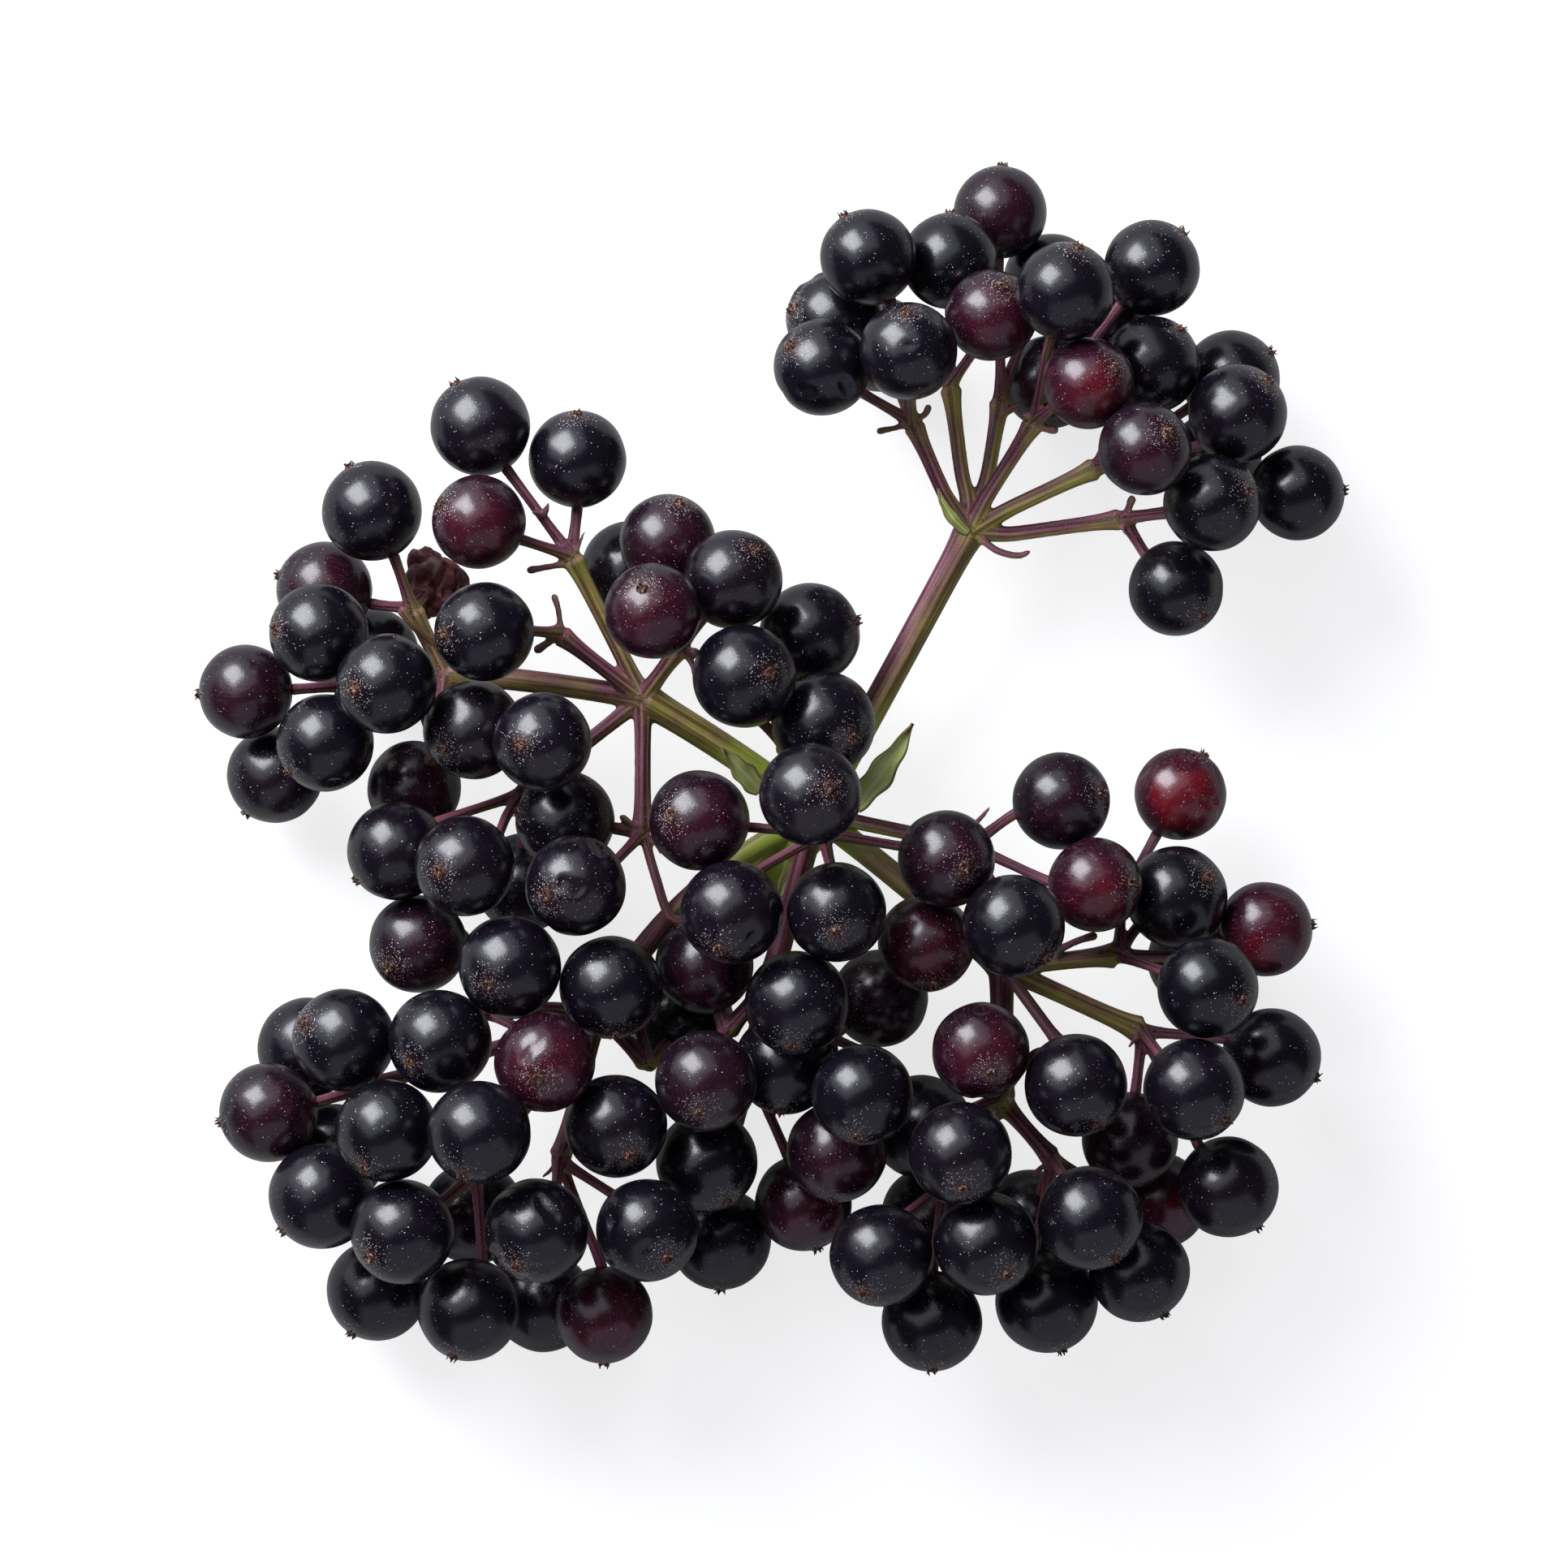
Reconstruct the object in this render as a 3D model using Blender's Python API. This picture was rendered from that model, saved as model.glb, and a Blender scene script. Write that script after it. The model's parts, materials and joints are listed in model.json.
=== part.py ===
"""A picked bunch of ripe elderberries, lying on its back.

A short cut peduncle opens into rays, each ray forks into stalked sprays, and each spray carries a
handful of berries on thin pedicels. Lengths are in millimetres until a mesh is made. +Z is up, +Y is
towards the loose top cluster, and the origin is on the surface below the middle of the bunch.
"""

import math
import random
from collections import namedtuple

import bmesh
import bpy
import numpy as np
from mathutils import Vector

MM = 0.001

HUB = (3.5, -3.5, 9.5)  # where the rays leave the peduncle
PEDUNCLE_ROUTE = [HUB, (-0.5, -8.5, 5.5), (-4.5, -13.5, 2.1)]
PEDUNCLE_RADIUS = 2.0
HUB_RADIUS = 2.6
RAY_RADIUS = 1.15
RAY_FORK_RADIUS = 1.6
BRANCH_RADIUS = 0.75
SPRAY_FORK_RADIUS = 1.1
PEDICEL_RADIUS = 0.48

HUB_REACH = 6.0  # how far the hub's own stubs run before the rays take over
FORK_REACH = 4.0  # the same at a ray's fork, before its branches take over
GAP = 0.3  # left between neighbouring pieces
STALK_ROOM = 0.6  # the same between stalks, whose routes are thinned out afterwards
STALK_STEP = 1.5  # between the points of a stalk's route
PEDICEL_LEAD = 1.5  # the last straight stretch into a berry
SINK = 0.35  # how far a pedicel's end is buried in its berry

RIPE, DARK, WINE, RED, WITHERED = "ripe", "dark", "wine", "red", "withered"
FULLNESS = {RIPE: 1.0, DARK: 0.97, WINE: 0.95, RED: 0.93, WITHERED: 0.6}
SIZE_SPREAD = 0.02

# A berry is (x, y, height, ripeness) and, where its calyx is seen, the calyx's lean in X and Y.
# A ray is the fork that it grows from, a bend on its way, its own fork, its berries' radius and sprays.
Ray = namedtuple("Ray", "name grows_from bend fork berry_radius sprays")
Spray = namedtuple("Spray", "fork berries")

RAYS = [
    Ray("top", "hub", (8.5, 5.5, 9), (15.5, 18.5, 10), 3.65, [
        Spray((11, 27, 11), [
            (4, 31, 15, RIPE, (-0.65, 0.4)),
            (10.5, 32, 19, RIPE, (-0.05, 0.75)),
            (5, 35, 9, RIPE, (-0.9, 0.2)),
            (7.5, 39.5, 14, RIPE, (-0.5, 0.85)),
            (8.5, 33.5, 4, RIPE),
        ]),
        Spray((14, 30, 9), [
            (14, 39.5, 9, RIPE, (0, 1)),
            (17, 35, 18, WINE, (0.25, 0.6)),
        ]),
        Spray((18, 29, 8), [
            (18, 43.5, 8, DARK, (0.05, 1)),
            (22, 38.5, 4, RIPE),
        ]),
        Spray((20.5, 27, 12), [
            (22.5, 36.5, 20, RIPE, (0.25, 0.85)),
            (24.5, 29.5, 21, WINE, (0.55, 0.3)),
            (29.5, 38.5, 14, RIPE, (0.65, 0.75)),
            (26, 34.5, 7, RIPE),
            (22, 30.5, 4, DARK),
        ]),
        Spray((25.5, 23.5, 11), [
            (29.5, 31.5, 13, RIPE, (0.6, 0.7)),
            (28.5, 24.5, 21, DARK, (0.45, 0.3)),
            (36, 30.5, 8, RIPE, (0.8, 0.55)),
            (36, 27.5, 15, RIPE, (0.6, 0.65)),
            (35, 24.5, 4, DARK),
        ]),
        Spray((27.5, 19.5, 10), [
            (34, 20.5, 18, RIPE, (0.7, 0.2)),
            (41, 21.5, 11, RIPE, (1, 0.05)),
            (31.5, 14, 12, RIPE, (0.55, -0.6)),
        ]),
    ]),
    Ray("left", "hub", (-3, 2.5, 9), (-10, 5.5, 11), 3.75, [
        Spray((-15.5, 16.5, 14), [
            (-22.5, 26.5, 15, RIPE, (-0.5, 0.85)),
            (-15, 24, 14, RIPE, (0, 0.9)),
            (-22.5, 19, 18, WINE, (-0.8, 0.35)),
        ]),
        Spray((-16.5, 10.5, 14), [
            (-22, 10.5, 20, RIPE, (-0.8, -0.05)),
        ]),
        Spray((-19.5, -2, 10), [
            (-17.5, 2, 21, RIPE, (-0.4, -0.05)),
            (-29, -6.5, 13, RIPE, (-0.8, -0.6)),
            (-23.5, -7.5, 20, RIPE, (-0.5, -0.1)),
            (-19.5, -9, 4, RIPE),
        ]),
        Spray((-10, -5, 12), [
            (-16, -4, 11, RIPE),
            (-15, -9, 20, RIPE, (-0.55, -0.2)),
        ]),
        Spray((-7, 9.5, 14), [
            (-9, 12, 22, WINE, (-0.2, 0.45)),
            (-11, 15.5, 9, RIPE),
            (-8, 17.5, 15, DARK, (0.25, 0.8)),
            (-3, 14.5, 21, RIPE, (0.45, 0.6)),
        ]),
    ]),
    Ray("far_left", "left", (-18, 7.5, 9.5), (-25.5, 7.5, 9.5), 3.7, [
        Spray((-28, 12.5, 11), [
            (-31, 20, 13, RIPE, (-0.45, 0.9)),
            (-35, 14, 8, DARK, (-0.95, 0.3)),
            (-26.5, 14.5, 6, WITHERED),
        ]),
        Spray((-33, 6.5, 9), [
            (-35, 10.5, 15, RIPE, (-0.85, 0.05)),
            (-41, 6, 10, DARK, (-1, -0.05)),
            (-34.5, 2, 15, RIPE, (-0.75, -0.6)),
            (-39, -0.5, 6, RIPE, (-0.6, -0.8)),
            (-31.5, 9, 4, RIPE),
        ]),
        Spray((-26, 1.5, 11.5), [
            (-29.5, 6.5, 20, RIPE, (-0.6, -0.1)),
            (-28, -1.5, 8, DARK),
            (-23, 3, 17, RIPE, (-0.6, -0.4)),
        ]),
    ]),
    Ray("middle", "hub", None, HUB, 3.8, [
        Spray((4, -5, 18), [
            (3, -2, 27, RIPE, (0.35, 0.15)),
            (-5.5, -4, 20, DARK, (-0.55, 0.1)),
            (-3, -11, 22, RIPE, (-0.25, -0.7)),
            (5, -11, 22, RIPE, (0, -0.4)),
            (13.5, -7, 21, DARK, (0.35, -0.15)),
        ]),
        Spray((1, 2, 15), [
            (-2, 7, 22, RIPE, (0.5, 0.05)),
            (3, 10.5, 14, RIPE, (0.95, 0.25)),
            (4, 3.5, 15, RIPE, (0.55, -0.3)),
        ]),
        Spray((15.5, -6, 13), [
            (22.5, -2.5, 14, DARK, (0.8, 0.15)),
            (25, -9, 16, WINE, (0.75, 0.05)),
            (18.5, -12, 22, RIPE, (0.6, -0.65)),
            (12, -13.5, 16, WINE, (0.15, -0.85)),
        ]),
    ]),
    Ray("lower_left", "hub", (-9.5, -9.5, 9), (-13.5, -19, 10), 3.9, [
        Spray((-32, -25, 10), [
            (-33, -21, 16, RIPE, (-0.75, 0.35)),
            (-36.5, -22, 7, RIPE),
            (-39, -27, 11, DARK, (-1, -0.2)),
            (-35, -33, 12, RIPE, (-0.75, -0.65)),
            (-34.5, -30.5, 4, RIPE),
            (-29.5, -28, 19, RIPE, (-0.4, -0.7)),
        ]),
        Spray((-22, -19, 11), [
            (-25.5, -21, 18, RIPE, (-0.55, -0.4)),
            (-20, -15.5, 20, RIPE, (-0.4, -0.35)),
            (-27.5, -13.5, 13, DARK, (-0.55, -0.45)),
            (-17.5, -22.5, 20, WINE, (-0.1, -0.3)),
        ]),
        Spray((-23, -31.5, 11), [
            (-22, -27.5, 20, RIPE, (-0.3, -0.8)),
            (-28.5, -35.5, 18, RIPE, (-0.6, -0.45)),
            (-23.5, -42, 13, RIPE, (-0.3, -0.9)),
            (-31, -41, 6, RIPE, (-0.5, -0.85)),
            (-23.5, -35, 4, RIPE),
        ]),
        Spray((-16.5, -30.5, 11), [
            (-12, -27.5, 19, RIPE, (0.3, -0.55)),
            (-18, -35.5, 20, RIPE, (-0.35, -0.65)),
            (-9.5, -35.5, 19, RIPE, (0.4, -0.5)),
            (-13, -42.5, 12, WINE, (0, -1)),
            (-18, -42, 4, RIPE),
        ]),
        Spray((-9.5, -23, 13.5), [
            (-12.5, -17, 20, RIPE, (0.1, -0.9)),
            (-7, -20, 7, RIPE),
        ]),
    ]),
    Ray("lower", "hub", (2, -9.5, 9), (0, -16.5, 10), 3.85, [
        Spray((-3.5, -20.5, 13.5), [
            (2, -18, 20, RIPE, (-0.1, -0.8)),
            (-5, -15.5, 11, DARK),
            (-5, -24, 20, DARK, (-0.1, -0.6)),
        ]),
        Spray((-1.5, -24, 9), [
            (1, -23, 10, RIPE, (-0.1, -0.95)),
            (-5, -30.5, 13, RIPE, (0.4, -0.8)),
            (-4, -37, 6, RIPE, (0, -1)),
            (2.5, -34, 8, WINE, (0.3, -0.95)),
        ]),
        Spray((4.5, -21, 10), [
            (7, -25, 21, RIPE, (-0.1, -0.8)),
            (5, -29.5, 13, DARK, (-0.1, -0.95)),
            (8.5, -18, 8, DARK),
        ]),
    ]),
    Ray("right", "hub", (10.5, -8.5, 9), (18, -15.5, 10), 3.8, [
        Spray((27, -14.5, 12), [
            (32, -2, 9, RED, (0.5, 0.85)),
            (31.5, -10, 13, RIPE, (0.6, 0.4)),
            (38.5, -12.5, 11, WINE, (1, 0.1)),
            (33.5, -17, 20, RIPE, (0.65, -0.25)),
            (33.5, -15, 4, RIPE),
        ]),
        Spray((29, -20.5, 10), [
            (39, -22.5, 11, RIPE, (0.9, -0.4)),
            (32.5, -24.5, 20, RIPE, (0.6, -0.6)),
            (28, -29, 10, DARK),
            (35.5, -32.5, 13, RIPE, (0.6, -0.8)),
        ]),
    ]),
    Ray("lower_right", "right", (18.5, -20.5, 9), (18, -26, 10), 3.85, [
        Spray((17.5, -25.5, 16), [
            (17, -22, 20, WINE, (0.2, -0.45)),
            (14.5, -29.5, 21, RIPE, (0.05, -0.65)),
            (12, -28.5, 9, RIPE),
            (22.5, -24, 20, RIPE, (0.4, -0.75)),
        ]),
        Spray((13.5, -32.5, 11), [
            (8.5, -37.5, 18, RIPE, (-0.35, -0.7)),
            (16.5, -36.5, 20, RIPE, (0.4, -0.55)),
            (12.5, -43, 12, RIPE, (0, -0.95)),
            (12.5, -35, 4, RIPE),
        ]),
        Spray((22, -30.5, 11), [
            (24.5, -34.5, 20, RIPE, (0.45, -0.75)),
            (21.5, -41.5, 12, RIPE, (0.3, -0.95)),
            (28.5, -39, 13, RIPE, (0.5, -0.85)),
            (20.5, -35.5, 4, RIPE),
            (30.5, -34, 5, WINE),
        ]),
    ]),
]

BERRY_PUSH = (0.3, 0.3, 1.0)  # berries in each other's way slide mostly up or down
BERRY_ROUNDS = 300
HOME_PULL = 0.06
STALK_ROUNDS = 120
STALK_STIFFNESS = 0.3
SEED = 11

BRACTS = {
    "leaf_bract": ([(7, -2.5, 10.5), (8.8, -0.3, 12), (11, 3.5, 13)], 2.4),
    "small_bract": ([(-1.0, -1.5, 11.5), (-2.6, 0.2, 12.5), (-3.8, 1.6, 13)], 1.6),
}
BRACT_THICKNESS = 0.6
BRACT_TIP = 0.15

BERRY_DETAIL, FORK_DETAIL = 2, 2  # icosphere subdivisions
STEM_SIDES, PEDICEL_SIDES = 5, 4
WITHERED_FURROW, WITHERED_FURROWS = 0.12, 5
NEARLY_UP = Vector((0.01, 0.02, 1))
SHARP_ANGLE = math.radians(60)

SKIN_COLOUR, SKIN_ROUGHNESS = (0.008, 0.007, 0.014), 0.3
STEM_COLOUR, STEM_ROUGHNESS = (0.09, 0.035, 0.04), 0.55
LEAF_COLOUR, LEAF_ROUGHNESS = (0.14, 0.19, 0.03), 0.5


class Berry:
    """One fruit: its centre, its radius, its ripeness, and the way that its calyx faces."""

    def __init__(self, ray, spray, row, rng):
        x, y, z, self.ripeness, *lean = row
        self.spray_fork = np.array(spray.fork, float)
        self.home = np.array((x, y, z), float)
        self.radius = ray.berry_radius * FULLNESS[self.ripeness] * rng.uniform(1 - SIZE_SPREAD, 1 + SIZE_SPREAD)
        self.lean = lean[0] if lean else None

    def face(self, place):
        """Settles the berry at its place, its calyx leaning as given or else straight away from its fork."""
        self.place = place
        if self.lean is None:
            axis = place - self.spray_fork
        else:
            tilt = min(1.0, math.hypot(*self.lean))
            axis = np.array((*self.lean, math.sqrt(1 - tilt * tilt)))
        self.axis = axis / np.linalg.norm(axis)
        self.stem_end = self.place - self.axis * (self.radius - SINK)


class Stalk:
    """A stretch of stem from one fork to the next, or to a berry: a route of points and a radius."""

    def __init__(self, start, node, route, radius):
        self.start, self.node, self.radius = start, node, radius
        route = np.array(route, float)
        along = distance_along(route)
        count = max(3, round(along[-1] / STALK_STEP) + 1)
        self.points = points_at(route, np.linspace(0, along[-1], count))


def distance_along(route):
    steps = np.linalg.norm(np.diff(route, axis=0), axis=1)
    return np.concatenate([[0], np.cumsum(steps)])


def points_at(route, distances):
    along = distance_along(route)
    return np.array([np.interp(distances, along, route[:, axis]) for axis in range(3)]).T


def push_apart(places, radii, others, other_radii, room, skip=False):
    """For each ball, the sum of the shifts that would leave it that much room from each other ball."""
    apart = places[:, None] - others[None]
    distance = np.linalg.norm(apart, axis=2) + 1e-9
    overlap = radii[:, None] + other_radii[None] + room - distance
    overlap = np.where(skip, 0, np.clip(overlap, 0, None))
    return (apart * (overlap / distance)[:, :, None]).sum(axis=1)


def joined(stalks):
    """The points of all the stalks in one array, with each point's radius and the number of its stalk."""
    points = np.concatenate([stalk.points for stalk in stalks])
    radii = np.concatenate([np.full(len(stalk.points), stalk.radius) for stalk in stalks])
    owner = np.concatenate([np.full(len(stalk.points), i) for i, stalk in enumerate(stalks)])
    return points, radii, owner


def settle_berries(berries, stems):
    """Moves the berries clear of each other, of the main stems and of the surface that they lie on."""
    home = np.array([berry.home for berry in berries])
    radii = np.array([berry.radius for berry in berries])
    stem_points, stem_radii, _ = joined(stems)
    itself = np.eye(len(berries), dtype=bool)
    places = home.copy()
    for step in range(BERRY_ROUNDS):
        shift = 0.5 * push_apart(places, radii, places, radii, GAP, itself)
        shift += 0.5 * push_apart(places, radii, stem_points, stem_radii, STALK_ROOM)
        places += shift * BERRY_PUSH
        places[:, :2] += (home - places)[:, :2] * HOME_PULL * (1 - step / BERRY_ROUNDS)
        places[:, 2] = np.maximum(places[:, 2], radii)
    for berry, place in zip(berries, places):
        berry.face(place)


def settle_stalks(stalks, berries, forks):
    """Eases every stalk round the berries and the other stalks, keeping its ends where they are."""
    points, radii, owner = joined(stalks)
    inner = np.nonzero((owner[1:-1] == owner[:-2]) & (owner[1:-1] == owner[2:]))[0] + 1
    fork_places = np.array(list(forks.values()), float)
    clear = 0.8 * np.array([reach_of(name) for name in forks])
    near = (np.linalg.norm(points[:, None] - fork_places[None], axis=2) < clear).astype(int)
    family = (owner[:, None] == owner[None]) | (near @ near.T > 0)
    places = np.array([berry.place for berry in berries])
    berry_radii = np.array([berry.radius for berry in berries])
    for _ in range(STALK_ROUNDS):
        shift = push_apart(points, radii, places, berry_radii, STALK_ROOM)
        shift += 0.5 * push_apart(points, radii, points, radii, STALK_ROOM, family)
        points[inner] += shift[inner]
        points[inner] += STALK_STIFFNESS * ((points[inner - 1] + points[inner + 1]) / 2 - points[inner])
        points[inner, 2] = np.maximum(points[inner, 2], radii[inner])
    for i, stalk in enumerate(stalks):
        stalk.points = points[owner == i]


def reach_of(fork):
    return HUB_REACH if fork == "hub" else FORK_REACH


def grow():
    """The whole bunch: its berries by spray, its stalks, and its forks by name."""
    rng = random.Random(SEED)
    forks = {"hub": HUB}
    stems = [Stalk(None, "peduncle", PEDUNCLE_ROUTE, PEDUNCLE_RADIUS)]
    pedicels, sprays = [], {}
    for ray in RAYS:
        if ray.bend:
            forks[ray.name] = ray.fork
            route = [forks[ray.grows_from], ray.bend, ray.fork]
            stems.append(Stalk(ray.grows_from, ray.name + "_ray", route, RAY_RADIUS))
        for number, spray in enumerate(ray.sprays, 1):
            name = f"{ray.name}_spray_{number}"
            forks[name] = spray.fork
            start = ray.name if ray.bend else ray.grows_from
            stems.append(Stalk(start, name, [ray.fork, spray.fork], BRANCH_RADIUS))
            sprays[name] = [Berry(ray, spray, row, rng) for row in spray.berries]
    berries = [berry for spray in sprays.values() for berry in spray]
    settle_berries(berries, stems)
    for name, spray in sprays.items():
        for berry in spray:
            lead = berry.stem_end - berry.axis * PEDICEL_LEAD
            pedicels.append(Stalk(name, name, [forks[name], lead, berry.stem_end], PEDICEL_RADIUS))
    stalks = stems + pedicels
    settle_stalks(stalks, berries, forks)
    return sprays, stalks, forks


def add_ball(bm, centre, radius, subdivisions):
    made = bmesh.ops.create_icosphere(bm, subdivisions=subdivisions, radius=radius)
    bmesh.ops.translate(bm, verts=made["verts"], vec=Vector(centre))
    return made["verts"]


def add_withered_berry(bm, centre, radius):
    """A berry that dried on the bunch: small, and folded into furrows round its axis."""
    for vert in add_ball(bm, centre, radius, BERRY_DETAIL):
        out = vert.co - Vector(centre)
        turn = math.atan2(out.y, out.x)
        vert.co += out * (WITHERED_FURROW * math.sin(WITHERED_FURROWS * turn) - WITHERED_FURROW)


def add_tube(bm, points, across, thick=None, sides=6):
    """A closed tube along the points, with its half width and half thickness at each of them."""
    points = [Vector(point) for point in points]
    thick = thick or across
    side = (points[1] - points[0]).cross(NEARLY_UP)
    rings = []
    for i, point in enumerate(points):
        along = (points[min(i + 1, len(points) - 1)] - points[max(i - 1, 0)]).normalized()
        side = (side - along * side.dot(along)).normalized()
        up = along.cross(side)
        turns = [2 * math.pi * j / sides for j in range(sides)]
        ring = [point + side * (across[i] * math.cos(turn)) + up * (thick[i] * math.sin(turn)) for turn in turns]
        rings.append([bm.verts.new(co) for co in ring])
    for low, high in zip(rings, rings[1:]):
        for j in range(sides):
            k = (j + 1) % sides
            bm.faces.new((low[j], low[k], high[k], high[j]))
    bm.faces.new(reversed(rings[0]))
    bm.faces.new(rings[-1])


def add_stalk(bm, stalk, start, end, sides):
    """The stretch of a stalk between two distances along it, with every third point of its route."""
    inner = distance_along(stalk.points)[3:-1:3]
    stops = [start, *inner[(inner > start + GAP) & (inner < end - GAP)], end]
    add_tube(bm, points_at(stalk.points, stops), [stalk.radius] * len(stops), sides=sides)


def length_of(stalk):
    return distance_along(stalk.points)[-1]


def make_object(name, bm, at, material):
    """The closed shapes in the bmesh as one object, its origin at a place on the bunch."""
    bmesh.ops.recalc_face_normals(bm, faces=bm.faces)
    bmesh.ops.translate(bm, verts=bm.verts, vec=-Vector(at))
    bmesh.ops.scale(bm, verts=bm.verts, vec=(MM, MM, MM))
    mesh = bpy.data.meshes.new(name)
    bm.to_mesh(mesh)
    bm.free()
    mesh.shade_smooth()
    mesh.set_sharp_from_angle(angle=SHARP_ANGLE)
    mesh.materials.append(material)
    obj = bpy.data.objects.new(name, mesh)
    obj.location = Vector(at) * MM
    bpy.context.scene.collection.objects.link(obj)
    return obj


def unite(obj, other):
    """Grows the other object's shapes, and the ones that already cross in it, into one skin with this one."""
    other.hide_render = True
    other.display_type = "WIRE"
    union = obj.modifiers.new("one skin", "BOOLEAN")
    union.operation = "UNION"
    union.object = other
    union.solver = "EXACT"
    union.use_self = True


def make_material(name, colour, roughness):
    material = bpy.data.materials.new(name)
    material.use_nodes = True
    shader = material.node_tree.nodes["Principled BSDF"]
    shader.inputs["Base Color"].default_value = (*colour, 1)
    shader.inputs["Roughness"].default_value = roughness
    shader.inputs["Metallic"].default_value = 0.0
    material.diffuse_color = (*colour, 1)
    return material


def make_stem_piece(name, fork, fork_radius, own, stalks, material):
    """A peduncle or ray: its own stalk past the fork before it, its swollen fork, and the stubs that leave it."""
    core, stubs = bmesh.new(), bmesh.new()
    place = own.points[0] if name == "peduncle" else own.points[-1]
    add_ball(core, place, fork_radius, FORK_DETAIL)
    begin = 0 if name == "peduncle" else reach_of(own.start) + GAP
    add_stalk(stubs, own, begin, length_of(own), STEM_SIDES)
    for stalk in stalks:
        if stalk.start == fork:
            add_stalk(stubs, stalk, 0, reach_of(fork), STEM_SIDES)
    piece = make_object(name, core, place, material)
    unite(piece, make_object(name + "_stubs", stubs, place, material))
    return piece


def make_spray(name, berries, fork, stalks, skin, stem):
    """A spray: its berries, their pedicels, and its own stalk past the ray's fork, grown together."""
    fruit, twigs = bmesh.new(), bmesh.new()
    for berry in berries:
        if berry.ripeness == WITHERED:
            add_withered_berry(fruit, berry.place, berry.radius)
        else:
            add_ball(fruit, berry.place, berry.radius, BERRY_DETAIL)
    add_ball(twigs, fork, SPRAY_FORK_RADIUS, 1)
    for stalk in stalks:
        if stalk.start == name:
            add_stalk(twigs, stalk, 0, length_of(stalk), PEDICEL_SIDES)
        elif stalk.node == name:
            add_stalk(twigs, stalk, reach_of(stalk.start) + GAP, length_of(stalk), STEM_SIDES)
    piece = make_object(name, fruit, fork, skin)
    unite(piece, make_object(name + "_twigs", twigs, fork, stem))
    return piece


def make_bract(name, route, width, material):
    """A small leaf at the hub: a thin pointed blade, widest a third of the way along."""
    route = np.array(route, float)
    shares = [0.0, 0.15, 0.35, 0.6, 0.85, 1.0]
    points = points_at(route, [share * distance_along(route)[-1] for share in shares])
    across = [max(BRACT_TIP, width / 2 * math.sin(math.pi * share ** 0.7)) for share in shares]
    blade = bmesh.new()
    add_tube(blade, points, across, thick=[BRACT_THICKNESS / 2] * len(shares), sides=6)
    return make_object(name, blade, route[0], material)


def main():
    for obj in list(bpy.data.objects):
        bpy.data.objects.remove(obj)
    skin = make_material("berry skin", SKIN_COLOUR, SKIN_ROUGHNESS)
    stem = make_material("stem", STEM_COLOUR, STEM_ROUGHNESS)
    leaf = make_material("leaf", LEAF_COLOUR, LEAF_ROUGHNESS)
    sprays, stalks, forks = grow()
    pieces = []
    for stalk in stalks:
        if stalk.node == "peduncle":
            pieces.append(make_stem_piece("peduncle", "hub", HUB_RADIUS, stalk, stalks, stem))
        elif stalk.node.endswith("_ray"):
            fork = stalk.node.removesuffix("_ray")
            pieces.append(make_stem_piece(stalk.node, fork, RAY_FORK_RADIUS, stalk, stalks, stem))
    for name, berries in sprays.items():
        pieces.append(make_spray(name, berries, forks[name], stalks, skin, stem))
    for name, (route, width) in BRACTS.items():
        pieces.append(make_bract(name, route, width, leaf))
    bunch = bpy.data.objects.new("bunch", None)
    bpy.context.scene.collection.objects.link(bunch)
    for piece in pieces:
        piece.parent = bunch


main()
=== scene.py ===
"""The looks of a picked bunch of ripe elderberries that lies on its back.

The bunch is put together the way that it grows: first where every stem and berry is, then the stems,
the berries with their calyxes, the berry that withered, the bracts, and last the studio.
"""

import json
import math
import random
from collections import namedtuple

import bmesh
import bpy
import numpy as np
from mathutils import Matrix, Vector, noise

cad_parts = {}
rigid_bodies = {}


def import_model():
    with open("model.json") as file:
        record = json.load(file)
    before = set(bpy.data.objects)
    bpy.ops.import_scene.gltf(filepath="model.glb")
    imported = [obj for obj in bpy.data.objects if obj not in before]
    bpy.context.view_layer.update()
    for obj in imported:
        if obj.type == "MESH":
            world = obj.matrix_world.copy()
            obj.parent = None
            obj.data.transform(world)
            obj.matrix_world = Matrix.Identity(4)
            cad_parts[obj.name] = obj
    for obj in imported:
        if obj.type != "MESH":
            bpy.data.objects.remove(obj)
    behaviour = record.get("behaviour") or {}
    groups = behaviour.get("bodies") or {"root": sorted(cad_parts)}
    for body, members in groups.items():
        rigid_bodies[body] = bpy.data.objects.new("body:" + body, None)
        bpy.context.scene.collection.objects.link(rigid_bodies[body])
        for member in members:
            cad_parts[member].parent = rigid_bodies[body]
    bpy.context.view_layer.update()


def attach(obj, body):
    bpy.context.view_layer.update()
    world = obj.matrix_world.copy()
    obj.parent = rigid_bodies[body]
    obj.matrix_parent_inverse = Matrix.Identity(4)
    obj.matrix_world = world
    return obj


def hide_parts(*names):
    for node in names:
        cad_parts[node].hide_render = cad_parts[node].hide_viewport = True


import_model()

# --- How the bunch grows ---------------------------------------------------------------------------
# A cut peduncle opens into rays, a ray forks into stalked sprays, and a spray holds a few berries on
# pedicels. The places are in millimetres, and berries and stems then ease each other aside.

HUB = (3.5, -3.5, 9.5)
PEDUNCLE_ROUTE = [HUB, (-0.5, -8.5, 5.5), (-4.5, -13.5, 2.1)]
PEDUNCLE_RADIUS, RAY_RADIUS, BRANCH_RADIUS, PEDICEL_RADIUS = 2.0, 1.15, 0.75, 0.48
HUB_REACH, FORK_REACH = 6.0, 4.0  # stems this near to their fork may touch
GAP = 0.3  # between two berries
STALK_ROOM = 0.6  # between a stem and a berry, or another stem
STALK_STEP = 1.5  # between the points of a stem's route
PEDICEL_LEAD = 1.5  # how far a pedicel runs straight before its berry
SINK = 0.35  # how far it goes in

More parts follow.
